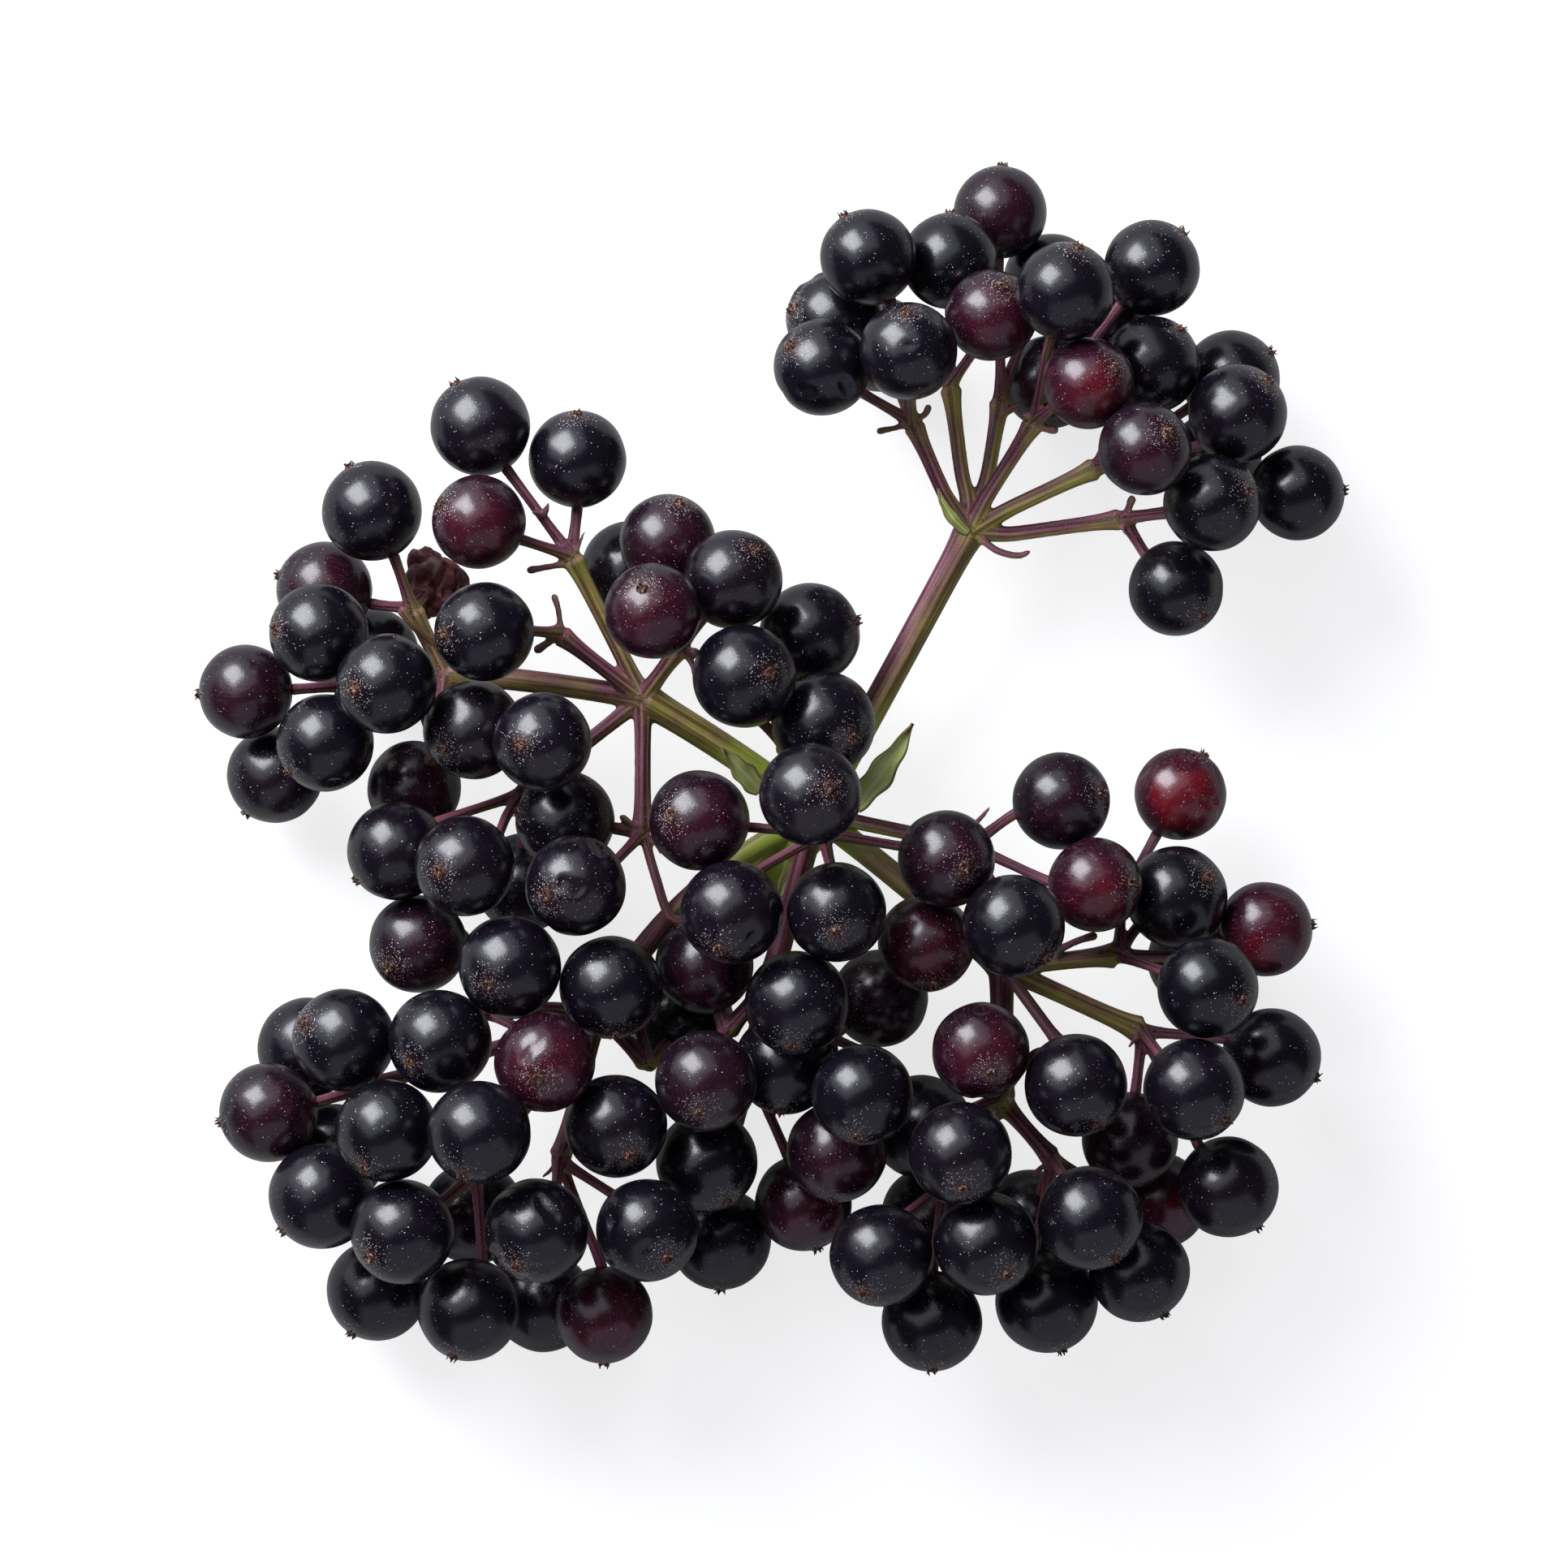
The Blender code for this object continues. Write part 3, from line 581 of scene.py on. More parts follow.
def stem_rows(rays):
    """Each stem and stub of these rays: route, radius, two flares, their length, greenness and dryness."""
    rows = []
    for stalk in stalks:
        if ray_of(stalk.node) not in rays:
            continue
        if "_spray_" not in stalk.node:
            kind, foot, head = stalk.node, END_FLARE, END_FLARE
        elif stalk.start == stalk.node:
            kind, foot, head = "pedicel", FORK_FLARE, END_FLARE
        else:
            own = stalk.node in STEM_KINDS
            kind, foot, head = stalk.node if own else "branch", FORK_FLARE, FORK_FLARE
        girth, green = STEM_KINDS[kind]
        rows.append((stalk.points, stalk.radius * girth, foot, head, FLARE_LENGTH, green, 0.0))
    for fork, route, radius, end in STUBS:
        if ray_of(fork) in rays:
            rows.append((np.array(route), radius, 0.5, end, STUB_FLARE_LENGTH, 0.3, 1.0))
    return rows


# Sweeps a ring along each route: wider at its flares, rounded off at its end, and marked for its ribs.
tree, given = new_tree("stem sweep", {"Step": "Float", "Sides": "Int", "Dome": "Float"})
route = add(tree, "GeometryNodeMeshToCurve", {"Mesh": given.outputs["Geometry"]})
route = add(tree, "GeometryNodeCurveSplineType", {"Curve": route}, spline_type="CATMULL_ROM")
route = add(tree, "GeometryNodeResampleCurve", {"Curve": route, "Length": given.outputs["Step"]},
            mode="LENGTH")
along = add(tree, "GeometryNodeSplineParameter").outputs["Length"]
whole = add(tree, "GeometryNodeSplineLength").outputs["Length"]
left_over = add(tree, "ShaderNodeMath", (whole, along), operation="SUBTRACT")
girth, reach, foot, head = [
    add(tree, "GeometryNodeInputNamedAttribute", {"Name": label}).outputs[0]
    for label in ("girth", "reach", "foot", "head")
]
swelling, knot = 1.0, 0.0
for amount, distance in ((foot, along), (head, left_over)):
    fall = add(tree, "ShaderNodeMath", (distance, reach), operation="DIVIDE")
    fall = add(tree, "ShaderNodeMath", (fall, -1.0), operation="MULTIPLY")
    fall = add(tree, "ShaderNodeMath", (fall,), operation="EXPONENT")
    swelling = add(tree, "ShaderNodeMath", (amount, fall, swelling), operation="MULTIPLY_ADD")
    knot = add(tree, "ShaderNodeMath", (fall, amount, knot), operation="MULTIPLY_ADD")
dome = add(tree, "ShaderNodeMath", (left_over, given.outputs["Dome"]), operation="DIVIDE", use_clamp=True)
dome = add(tree, "ShaderNodeMath", (dome,), operation="SQRT")
radius = add(tree, "ShaderNodeMath", (girth, swelling), operation="MULTIPLY")
radius = add(tree, "ShaderNodeMath", (radius, dome), operation="MULTIPLY")
route = add(tree, "GeometryNodeSetCurveRadius", {"Curve": route, "Radius": radius})
for label, value in (("along", along), ("knot", knot)):
    route = add(tree, "GeometryNodeStoreNamedAttribute", {"Geometry": route, "Name": label, "Value": value})
ring = add(tree, "GeometryNodeCurvePrimitiveCircle", {"Resolution": given.outputs["Sides"], "Radius": 1.0})
ring = add(tree, "GeometryNodeStoreNamedAttribute",
           {"Geometry": ring, "Name": "ring", "Value": add(tree, "GeometryNodeInputPosition")},
           data_type="FLOAT_VECTOR")
swept = add(tree, "GeometryNodeCurveToMesh",
            {"Curve": route, "Profile Curve": ring, "Scale": add(tree, "GeometryNodeInputRadius"),
             "Fill Caps": True})
add(tree, "NodeGroupOutput", {"Geometry": swept})
SWEEP = tree

# Gives the joined skin what each swept stem was marked with, and its material.
tree, given = new_tree("stem grain", {"Swept": "Object", "Skin": "Material"})
swept = add(tree, "GeometryNodeObjectInfo", {"Object": given.outputs["Swept"]}, transform_space="ORIGINAL")
skin = given.outputs["Geometry"]
for label in ("ring", "along", "girth", "green", "dry", "knot"):
    kind = "FLOAT_VECTOR" if label == "ring" else "FLOAT"
    value = add(tree, "GeometryNodeInputNamedAttribute", {"Name": label}, data_type=kind).outputs[0]
    nearest = add(tree, "GeometryNodeSampleNearestSurface",
                  {"Mesh": swept.outputs["Geometry"], "Value": value}, data_type=kind)
    if label in ("green", "dry", "knot"):
        nearest = add(tree, "GeometryNodeBlurAttribute", {"Value": nearest, "Iterations": BLEND_ROUNDS})
    skin = add(tree, "GeometryNodeStoreNamedAttribute", {"Geometry": skin, "Name": label, "Value": nearest},
               data_type=kind)
skin = add(tree, "GeometryNodeSetMaterial", {"Geometry": skin, "Material": given.outputs["Skin"]})
add(tree, "NodeGroupOutput", {"Geometry": skin})
GRAIN = tree

# The skin of a fresh woody-green stem: matt with a faint wax, purple where the sun reached it and
# olive below, with fine ribs along it. The forks are golden green and rough with pale pores.
RIB_SPACING, RIB_LENGTH = 0.34, 0.34 * 45
SUN_SIDE = (-0.62, 0.70, 0.30)  # the side that is purple
YOUNG_FROM, YOUNG_TO = 11, 4  # how far from the hub the stems turn pale green, and are quite so
stem_skin, tree, shader = new_material("fresh ribbed stem", 0.48, 1.45)
shader.inputs["Specular IOR Level"].default_value = 0.3
ring = add(tree, "ShaderNodeAttribute", attribute_name="ring").outputs["Vector"]
along, girth, green, dry, knot = [
    add(tree, "ShaderNodeAttribute", attribute_name=label).outputs["Fac"]
    for label in ("along", "girth", "green", "dry", "knot")
]
across = add(tree, "ShaderNodeVectorMath", {0: ring, "Scale": girth}, operation="SCALE")
down = add(tree, "ShaderNodeCombineXYZ", {"Z": along})
grain = add(tree, "ShaderNodeVectorMath", (across, down), operation="ADD")
fine, long = 1 / (RIB_SPACING * MM), 1 / (RIB_LENGTH * MM)
ribs = add(tree, "ShaderNodeMapping", {"Vector": grain, "Scale": (fine, fine, long)})
ribs = add(tree, "ShaderNodeTexNoise", {"Vector": ribs, "Scale": 1.0, "Detail": 3.0, "Roughness": 0.6})
place = add(tree, "ShaderNodeTexCoord").outputs["Object"]
blotch = add(tree, "ShaderNodeTexNoise", {"Vector": place, "Scale": 0.38 / MM, "Detail": 4.0,
                                          "Roughness": 0.6})
normal = add(tree, "ShaderNodeNewGeometry").outputs["Normal"]
sun = add(tree, "ShaderNodeVectorMath", (normal, SUN_SIDE), operation="DOT_PRODUCT").outputs["Value"]
shade = add(tree, "ShaderNodeMath", (sun, -0.6, green), operation="MULTIPLY_ADD")
shade = add(tree, "ShaderNodeMath", (blotch.outputs["Fac"], 1.0, shade), operation="MULTIPLY_ADD")
shade = add(tree, "ShaderNodeMath", (knot, 0.8, shade), operation="MULTIPLY_ADD")
away = add(tree, "ShaderNodeVectorMath", (place, Vector(HUB) * MM), operation="DISTANCE").outputs["Value"]
young = add(tree, "ShaderNodeMapRange", (away, YOUNG_FROM * MM, YOUNG_TO * MM))
hub_green = add(tree, "ShaderNodeMath", (green, 0.6), operation="MULTIPLY")
shade = add(tree, "ShaderNodeMath", (young, hub_green, shade), operation="MULTIPLY_ADD")
shade = add(tree, "ShaderNodeMapRange", (shade, 0.55, 1.6), interpolation_type="SMOOTHSTEP")
purple = add(tree, "ShaderNodeValToRGB", (ribs,), ((0.4, "#3d1525"), (0.64, "#8a5363")))
olive = add(tree, "ShaderNodeValToRGB", (ribs,), ((0.4, "#5f5520"), (0.64, "#aaa150")))
fresh = add(tree, "ShaderNodeMix", {0: young, 6: olive, 7: linear("#a4ba46")}, data_type="RGBA")
colour = add(tree, "ShaderNodeMix", {0: shade.outputs[0], 6: purple, 7: fresh.outputs[2]}, data_type="RGBA")
pores = add(tree, "ShaderNodeTexVoronoi", {"Vector": place, "Scale": 5.0 / MM})
pores = add(tree, "ShaderNodeMapRange", (pores, 0.34, 0.2))
rough = add(tree, "ShaderNodeMapRange", (knot, 0.1, 0.6, 0.12, 0.6))
pores = add(tree, "ShaderNodeMath", (pores, rough), operation="MULTIPLY")
colour = add(tree, "ShaderNodeMix", {0: pores, 6: colour.outputs[2], 7: linear("#b4a08c")},
             data_type="RGBA")
dry = add(tree, "ShaderNodeMath", (dry, 0.4), operation="MULTIPLY")
colour = add(tree, "ShaderNodeMix", {0: dry, 6: colour.outputs[2], 7: linear("#59403a")}, data_type="RGBA")
tree.links.new(colour.outputs[2], shader.inputs["Base Color"])
relief = add(tree, "ShaderNodeMath", (pores, 0.5, ribs.outputs["Fac"]), operation="MULTIPLY_ADD")
bump = add(tree, "ShaderNodeBump", {"Height": relief, "Strength": 0.7, "Distance": 0.09 * MM})
tree.links.new(bump.outputs[0], shader.inputs["Normal"])

for family, rays in FAMILIES.items():
    points, edges = [], []
    fields = {"girth": [], "foot": [], "head": [], "reach": [], "green": [], "dry": []}
    for route, girth, foot, head, reach, green, dry in stem_rows(rays):
        first = len(points)
        points.extend(route * MM)
        edges.extend((i, i + 1) for i in range(first, len(points) - 1))
        for label, value in zip(fields, (girth * MM, foot, head, reach * MM, green, dry)):
            fields[label].extend([value] * len(route))
    swept = points_object(family + "_swept", points, edges, fields)
    grow_with(swept, SWEEP, {"Step": SWEEP_STEP * MM, "Sides": SWEEP_SIDES, "Dome": DOME * MM})
    settled(swept)
    stems = put(family + "_stems", swept.data.copy())
    skin = stems.modifiers.new("one skin", "REMESH")
    skin.mode, skin.voxel_size, skin.use_smooth_shade = "VOXEL", SKIN_VOXEL * MM, True
    blend = stems.modifiers.new("swollen forks", "SMOOTH")
    blend.factor, blend.iterations = 0.5, SKIN_SMOOTHING
    grow_with(stems, GRAIN, {"Swept": swept, "Skin": stem_skin})
    settled(stems)
    stems.data.shade_smooth()
    bpy.data.objects.remove(swept)
    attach(stems, "root")
    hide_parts(*[ray if ray == "peduncle" else ray + "_ray" for ray in rays if ray != "middle"])


# --- The berries -----------------------------------------------------------------------------------
# Each berry is a thin taut skin over juice, blue-black when ripe and wine-red before, with a satin
# gloss and a pale dust that lies thickest round the calyx, the brown crust where the flower sat.

BERRY_DETAIL = 5
PLUMPNESS = 1.03  # the skins almost touch, where the plan leaves berries a little room
RESTING = 1.09  # how high the lowest berries lie, in their radii, for skin and calyx to clear the table
UNEVENNESS, DENT = 0.05, 0.06  # how far the skin swells and sinks, in radii
CALYX_RADIUS = 0.62
CALYX_RINGS, CALYX_SPOKES, SEPALS = 7, 22, 5
CALYX_KINDS = 4
CALYX_SEED, BERRY_SEED = 5, 23
RIPENESS = {RIPE: 0.0, DARK: 0.36, WINE: 0.68, RED: 1.0}


def mesh_from(name, bm):
    """The bmesh, which was drawn in millimetres, as a smooth mesh in metres."""
    bmesh.ops.scale(bm, verts=bm.verts, vec=(MM, MM, MM))
    mesh = bpy.data.meshes.new(name)
    bm.to_mesh(mesh)
    bm.free()
    mesh.shade_smooth()
    return mesh


def calyx_mesh(name, rng):
    """A crust with a raised grainy rim, a pit in its middle, and the flower's dried sepals round it."""
    bm = bmesh.new()
    rings = []
    for i in range(1, CALYX_RINGS + 1):
        share = i / CALYX_RINGS
        ring = []
        for j in range(CALYX_SPOKES):
            turn = 2 * math.pi * (j + rng.uniform(-0.25, 0.25)) / CALYX_SPOKES
            reach = CALYX_RADIUS * share * (1 + 0.1 * math.sin(3 * turn + i) + rng.uniform(-0.06, 0.06))
            height = 0.10 * math.sin(math.pi * min(1.0, share * 1.15)) - 0.16 * share ** 3
            height += rng.uniform(-0.035, 0.045) * (1 - 0.6 * share)
            ring.append(bm.verts.new((reach * math.cos(turn), reach * math.sin(turn), height)))
        rings.append(ring)
    centre = bm.verts.new((0, 0, -0.08))
    for j in range(CALYX_SPOKES):
        k = (j + 1) % CALYX_SPOKES
        bm.faces.new((centre, rings[0][j], rings[0][k]))
        for low, high in zip(rings, rings[1:]):
            bm.faces.new((low[j], high[j], high[k], low[k]))
    under = bm.verts.new((0, 0, -0.5))
    for j in range(CALYX_SPOKES):
        bm.faces.new((rings[-1][(j + 1) % CALYX_SPOKES], rings[-1][j], under))
    for i in range(SEPALS):
        turn = 2 * math.pi * (i + rng.uniform(-0.25, 0.25)) / SEPALS
        length = rng.uniform(0.18, 0.42)
        sepal = bmesh.ops.create_cone(bm, cap_ends=True, segments=5, radius1=0.13, radius2=0.03,
                                      depth=length)["verts"]
        squash = Matrix.Diagonal((0.6, 1.2, 1.0, 1.0))
        lean = Matrix.Rotation(rng.uniform(-0.5, 1.1), 4, "Y")
        out = Matrix.Translation((0.36, 0, 0.10 + length * 0.3))
        round_it = Matrix.Rotation(turn, 4, "Z")
        bmesh.ops.transform(bm, matrix=round_it @ out @ lean @ squash, verts=sepal)
    style = bmesh.ops.create_icosphere(bm, subdivisions=1, radius=0.11)["verts"]
    nudge = (rng.uniform(-0.1, 0.1), rng.uniform(-0.1, 0.1), 0.02)
    bmesh.ops.translate(bm, verts=style, vec=nudge)
    bmesh.ops.recalc_face_normals(bm, faces=bm.faces)
    return mesh_from(name, bm)


rng = random.Random(CALYX_SEED)
calyx_kinds = bpy.data.collections.new("calyx kinds")
for i in range(CALYX_KINDS):
    calyx_kinds.objects.link(bpy.data.objects.new(f"calyx_{i}", calyx_mesh(f"calyx_{i}", rng)))

# Berry skin: a cuticle with a thin wax, so a soft grainy highlight over near-black. The less ripe are
# wine-red with a painted glow, as of light through the juice, that fades towards the rim; thin streaks run
# from pole to pole, and the dust is grains of 0.1 to 0.2 mm.
COARSE_GRAIN, FINE_GRAIN = 17.0, 29.0  # grains across a berry's radius
PAINTED_GLOW_SIDE = (0.14, -0.22, 0.965)  # the side where the painted glow, as of light through the juice, is strongest
berry_skin, tree, shader = new_material("elderberry skin", 0.3, 1.5)
shader.inputs["Specular IOR Level"].default_value = 0.55
skin = add(tree, "ShaderNodeAttribute", attribute_name="skin").outputs["Vector"]
ripeness = add(tree, "ShaderNodeAttribute", attribute_name="ripeness").outputs["Fac"]
chance = add(tree, "ShaderNodeAttribute", attribute_name="chance").outputs["Fac"]
shift = add(tree, "ShaderNodeCombineXYZ", {"X": chance, "Y": chance, "Z": chance})
shifted = add(tree, "ShaderNodeVectorMath", {0: shift, "Scale": 40.0}, operation="SCALE")
shifted = add(tree, "ShaderNodeVectorMath", (shifted, skin), operation="ADD")
height = add(tree, "ShaderNodeSeparateXYZ", (skin,)).outputs["Z"]
clouds = add(tree, "ShaderNodeTexNoise", {"Vector": shifted, "Scale": 1.3, "Detail": 2.0})
normal = add(tree, "ShaderNodeNewGeometry").outputs["Normal"]
# Painted glow: the wine-red of the less ripe is brightest where the skin faces up and a little away from
# the key, and half as bright towards the rim, as if light shone through the juice.
inner = add(tree, "ShaderNodeVectorMath", (normal, PAINTED_GLOW_SIDE), operation="DOT_PRODUCT").outputs["Value"]
inner = add(tree, "ShaderNodeMapRange", (inner, 0.3, 1.0, 0.5, 1.0), interpolation_type="SMOOTHSTEP")
tone = add(tree, "ShaderNodeMapRange", (clouds, 0.3, 0.7, 0.8, 1.15))
tone = add(tree, "ShaderNodeMath", (tone, ripeness), operation="MULTIPLY")
tone = add(tree, "ShaderNodeMath", (tone, inner), operation="MULTIPLY")
colour = add(tree, "ShaderNodeValToRGB", (tone,), (
    (0.0, "#0b0912"), (0.12, "#0e0a15"), (0.3, "#1a0b17"),
    (0.5, "#2a0c19"), (0.75, "#3a0d1b"), (1.0, "#5c0e19"),
))
streaks = add(tree, "ShaderNodeMapping", {"Vector": shifted, "Scale": (22.0, 22.0, 1.5)})
streaks = add(tree, "ShaderNodeTexNoise", {"Vector": streaks, "Scale": 1.0, "Detail": 3.0,
                                           "Roughness": 0.65})
streak = add(tree, "ShaderNodeMapRange", (streaks, 0.54, 0.72, 0.0, 0.28))
streak = add(tree, "ShaderNodeMath", (streak, ripeness), operation="MULTIPLY")
colour = add(tree, "ShaderNodeMix", {0: streak, 6: colour, 7: linear("#9a5a66")}, data_type="RGBA")
near = add(tree, "ShaderNodeMapRange", (height, 0.965, 0.992), interpolation_type="SMOOTHSTEP")
tan = add(tree, "ShaderNodeMath", (near, 0.7), operation="MULTIPLY")
colour = add(tree, "ShaderNodeMix", {0: tan, 6: colour.outputs[2], 7: linear("#2e1a16")}, data_type="RGBA")
halo = add(tree, "ShaderNodeMapRange", (height, 0.84, 0.975), interpolation_type="SMOOTHSTEP")
patch = add(tree, "ShaderNodeTexNoise", {"Vector": shifted, "Scale": 2.4, "Detail": 1.0})
patch = add(tree, "ShaderNodeMapRange", (patch, 0.42, 0.7))
dusty = add(tree, "ShaderNodeMath", (ripeness, 0.2), operation="MULTIPLY")
upward = add(tree, "ShaderNodeSeparateXYZ", (normal,)).outputs["Z"]
upward = add(tree, "ShaderNodeMapRange", (upward, 0.2, 0.75, 0.1))
dots = 0.0
for scale, few, in_patch, in_halo, least, most in (
    (COARSE_GRAIN, 0.022, 0.07, 0.06, 0.1, 0.22),
    (FINE_GRAIN, 0.03, 0.10, 0.75, 0.18, 0.4),
):
    cells = add(tree, "ShaderNodeTexVoronoi", {"Vector": shifted, "Scale": scale})
    lot = add(tree, "ShaderNodeSeparateColor", (cells.outputs["Color"],))
    dust = add(tree, "ShaderNodeMath", (patch, in_patch, few), operation="MULTIPLY_ADD")
    dust = add(tree, "ShaderNodeMath", (dust, upward), operation="MULTIPLY")
    dust = add(tree, "ShaderNodeMath", (halo, in_halo, dust), operation="MULTIPLY_ADD")
    dust = add(tree, "ShaderNodeMath", (halo, dusty, dust), operation="MULTIPLY_ADD")
    kept = add(tree, "ShaderNodeMath", (lot.outputs[0], dust), operation="LESS_THAN")
    size = add(tree, "ShaderNodeMapRange", (lot.outputs[1], 0.0, 1.0, least, most))
    dot = add(tree, "ShaderNodeMath", (size, cells.outputs["Distance"]), operation="SUBTRACT")
    dot = add(tree, "ShaderNodeMath", (dot, 12.0), operation="MULTIPLY", use_clamp=True)
    dot = add(tree, "ShaderNodeMath", (dot, kept), operation="MULTIPLY")
    dots = add(tree, "ShaderNodeMath", (dots, dot), operation="MAXIMUM")
dot_colour = add(tree, "ShaderNodeValToRGB", (lot.outputs[2],), ((0.1, "#5e5862"), (0.9, "#dcd4d2")))
warmth = add(tree, "ShaderNodeMapRange", (height, 0.9, 0.985, 0.0, 0.8))
warm = add(tree, "ShaderNodeMix", {0: warmth, 6: dot_colour, 7: linear("#b3988a")}, data_type="RGBA")
colour = add(tree, "ShaderNodeMix", {0: dots, 6: colour.outputs[2], 7: warm.outputs[2]}, data_type="RGBA")
tree.links.new(colour.outputs[2], shader.inputs["Base Color"])
wax = add(tree, "ShaderNodeTexNoise", {"Vector": shifted, "Scale": 24.0, "Detail": 2.0, "Roughness": 0.7})
rough = add(tree, "ShaderNodeMapRange", (wax, 0.3, 0.7, 0.17, 0.29))
rough = add(tree, "ShaderNodeMath", (dots, 0.4, rough), operation="MULTIPLY_ADD")
tree.links.new(rough.outputs[0], shader.inputs["Roughness"])
relief = add(tree, "ShaderNodeMath", (dots, 0.5, wax.outputs["Fac"]), operation="MULTIPLY_ADD")
bump = add(tree, "ShaderNodeBump", {"Height": relief, "Strength": 0.3, "Distance": 0.03 * MM})
tree.links.new(bump.outputs[0], shader.inputs["Normal"])

# Calyx crust: dead cork and dried sepals, rusty brown with pale grains and a dark pit.
calyx_crust, tree, shader = new_material("dried calyx crust", 0.85, 1.45)
place = add(tree, "ShaderNodeTexCoord").outputs["Object"]
grains = add(tree, "ShaderNodeTexVoronoi", {"Vector": place, "Scale": 8.5 / MM})
lot = add(tree, "ShaderNodeSeparateColor", (grains.outputs["Color"],)).outputs[0]
colour = add(tree, "ShaderNodeValToRGB", (lot,),
             ((0.0, "#1f120e"), (0.4, "#39231d"), (0.78, "#623e31"), (1.0, "#b08a76")))
tree.links.new(colour.outputs[0], shader.inputs["Base Color"])
bump = add(tree, "ShaderNodeBump", {"Height": grains, "Strength": 0.8, "Distance": 0.06 * MM})
tree.links.new(bump.outputs[0], shader.inputs["Normal"])

# Puts a berry and its calyx on each point: turned by chance about its axis, uneven, and seldom dented.
tree, given = new_tree("berries", {"Detail": "Int", "Calyx Kinds": "Collection", "Skin": "Material",
                                   "Crust": "Material", "Unevenness": "Float", "Dent": "Float"})
ball = add(tree, "GeometryNodeMeshIcoSphere", {"Radius": 1.0, "Subdivisions": given.outputs["Detail"]})
ball = add(tree, "GeometryNodeStoreNamedAttribute",
           {"Geometry": ball, "Name": "skin", "Value": add(tree, "GeometryNodeInputPosition")},
           data_type="FLOAT_VECTOR")
axis, size, chance, where = [
    add(tree, "GeometryNodeInputNamedAttribute", {"Name": label}, data_type=kind).outputs[0]
    for label, kind in (("axis", "FLOAT_VECTOR"), ("size", "FLOAT"), ("chance", "FLOAT"),
                        ("skin", "FLOAT_VECTOR"))
]
facing = add(tree, "FunctionNodeAlignRotationToVector", {"Vector": axis}, axis="Z")
spin = add(tree, "ShaderNodeMath", (chance, 40.0), operation="MULTIPLY")
spin = add(tree, "FunctionNodeAxisAngleToRotation", {"Axis": (0.0, 0.0, 1.0), "Angle": spin})
facing = add(tree, "FunctionNodeRotateRotation", (facing, spin), rotation_space="LOCAL")
skins = add(tree, "GeometryNodeInstanceOnPoints",
            {"Points": given.outputs["Geometry"], "Instance": ball, "Rotation": facing, "Scale": size})
skins = add(tree, "GeometryNodeRealizeInstances", {"Geometry": skins})
apart = add(tree, "ShaderNodeMath", (chance, 60.0), operation="MULTIPLY")
apart = add(tree, "ShaderNodeCombineXYZ", {"X": apart, "Y": apart})
spot = add(tree, "ShaderNodeVectorMath", (where, apart), operation="ADD")
swell = add(tree, "ShaderNodeTexNoise", {"Vector": spot, "Scale": 1.1, "Detail": 1.0}).outputs[0]
swell = add(tree, "ShaderNodeMath", (swell, 0.5), operation="SUBTRACT")
swell = add(tree, "ShaderNodeMath", (swell, given.outputs["Unevenness"]), operation="MULTIPLY")
dent = add(tree, "ShaderNodeTexNoise", {"Vector": spot, "Scale": 1.9, "Detail": 0.0}).outputs[0]
dent = add(tree, "ShaderNodeMapRange", (dent, 0.64, 0.8), interpolation_type="SMOOTHSTEP")
rare = add(tree, "ShaderNodeMath", (chance, 0.86), operation="GREATER_THAN")
dent = add(tree, "ShaderNodeMath", (dent, rare), operation="MULTIPLY")
dent = add(tree, "ShaderNodeMath", (dent, given.outputs["Dent"]), operation="MULTIPLY")
swell = add(tree, "ShaderNodeMath", (swell, dent), operation="SUBTRACT")
swell = add(tree, "ShaderNodeMath", (swell, size), operation="MULTIPLY")
push = add(tree, "ShaderNodeVectorMath", {0: add(tree, "GeometryNodeInputNormal"), "Scale": swell},
           operation="SCALE")
skins = add(tree, "GeometryNodeSetPosition", {"Geometry": skins, "Offset": push})
skins = add(tree, "GeometryNodeSetMaterial", {"Geometry": skins, "Material": given.outputs["Skin"]})
top = add(tree, "ShaderNodeVectorMath", {0: axis, "Scale": size}, operation="SCALE")
tops = add(tree, "GeometryNodeSetPosition", {"Geometry": given.outputs["Geometry"], "Offset": top})
kinds = add(tree, "GeometryNodeCollectionInfo",
            {"Collection": given.outputs["Calyx Kinds"], "Separate Children": True, "Reset Children": True})
pick = add(tree, "ShaderNodeMath", (chance, 97.0), operation="MULTIPLY")
pick = add(tree, "FunctionNodeFloatToInt", (pick,))
crusts = add(tree, "GeometryNodeInstanceOnPoints",
             {"Points": tops, "Instance": kinds, "Pick Instance": True, "Instance Index": pick,
              "Rotation": facing})
crusts = add(tree, "GeometryNodeRealizeInstances", {"Geometry": crusts})
crusts = add(tree, "GeometryNodeSetMaterial", {"Geometry": crusts, "Material": given.outputs["Crust"]})
both = add(tree, "GeometryNodeJoinGeometry")
tree.links.new(crusts.outputs[0], both.inputs[0])
tree.links.new(skins.outputs[0], both.inputs[0])
add(tree, "NodeGroupOutput", {"Geometry": both})
BERRIES = tree

rng = random.Random(BERRY_SEED)
for name, spray in sprays.items():
    fresh = [berry for berry in spray if berry.ripeness != WITHERED]
    chances = [rng.random() for _ in fresh]
    ripeness = [RIPENESS[berry.ripeness] + rng.uniform(0.0, 0.2) for berry in fresh]
    places = [(*berry.place[:2], max(berry.place[2], RESTING * berry.radius)) for berry in fresh]
    berries = points_object(name + "_berries", np.array(places) * MM, [], {
        "size": [berry.radius * PLUMPNESS * MM for berry in fresh],
        "axis": [berry.axis for berry in fresh],
        "ripeness": ripeness,
        "chance": chances,
    })
    grow_with(berries, BERRIES, {"Detail": BERRY_DETAIL, "Calyx Kinds": calyx_kinds, "Skin": berry_skin,
                                 "Crust": calyx_crust, "Unevenness": UNEVENNESS, "Dent": DENT})
    settled(berries)
    berries.data.shade_smooth()
    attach(berries, "root")
    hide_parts(name)
for kind in list(calyx_kinds.objects):
    bpy.data.objects.remove(kind)
bpy.data.collections.remove(calyx_kinds)


# --- The withered berry ----------------------------------------------------------------------------
# One berry dried on the bunch. Its skin sank into deep folds, rusty red and grey, over the seeds.

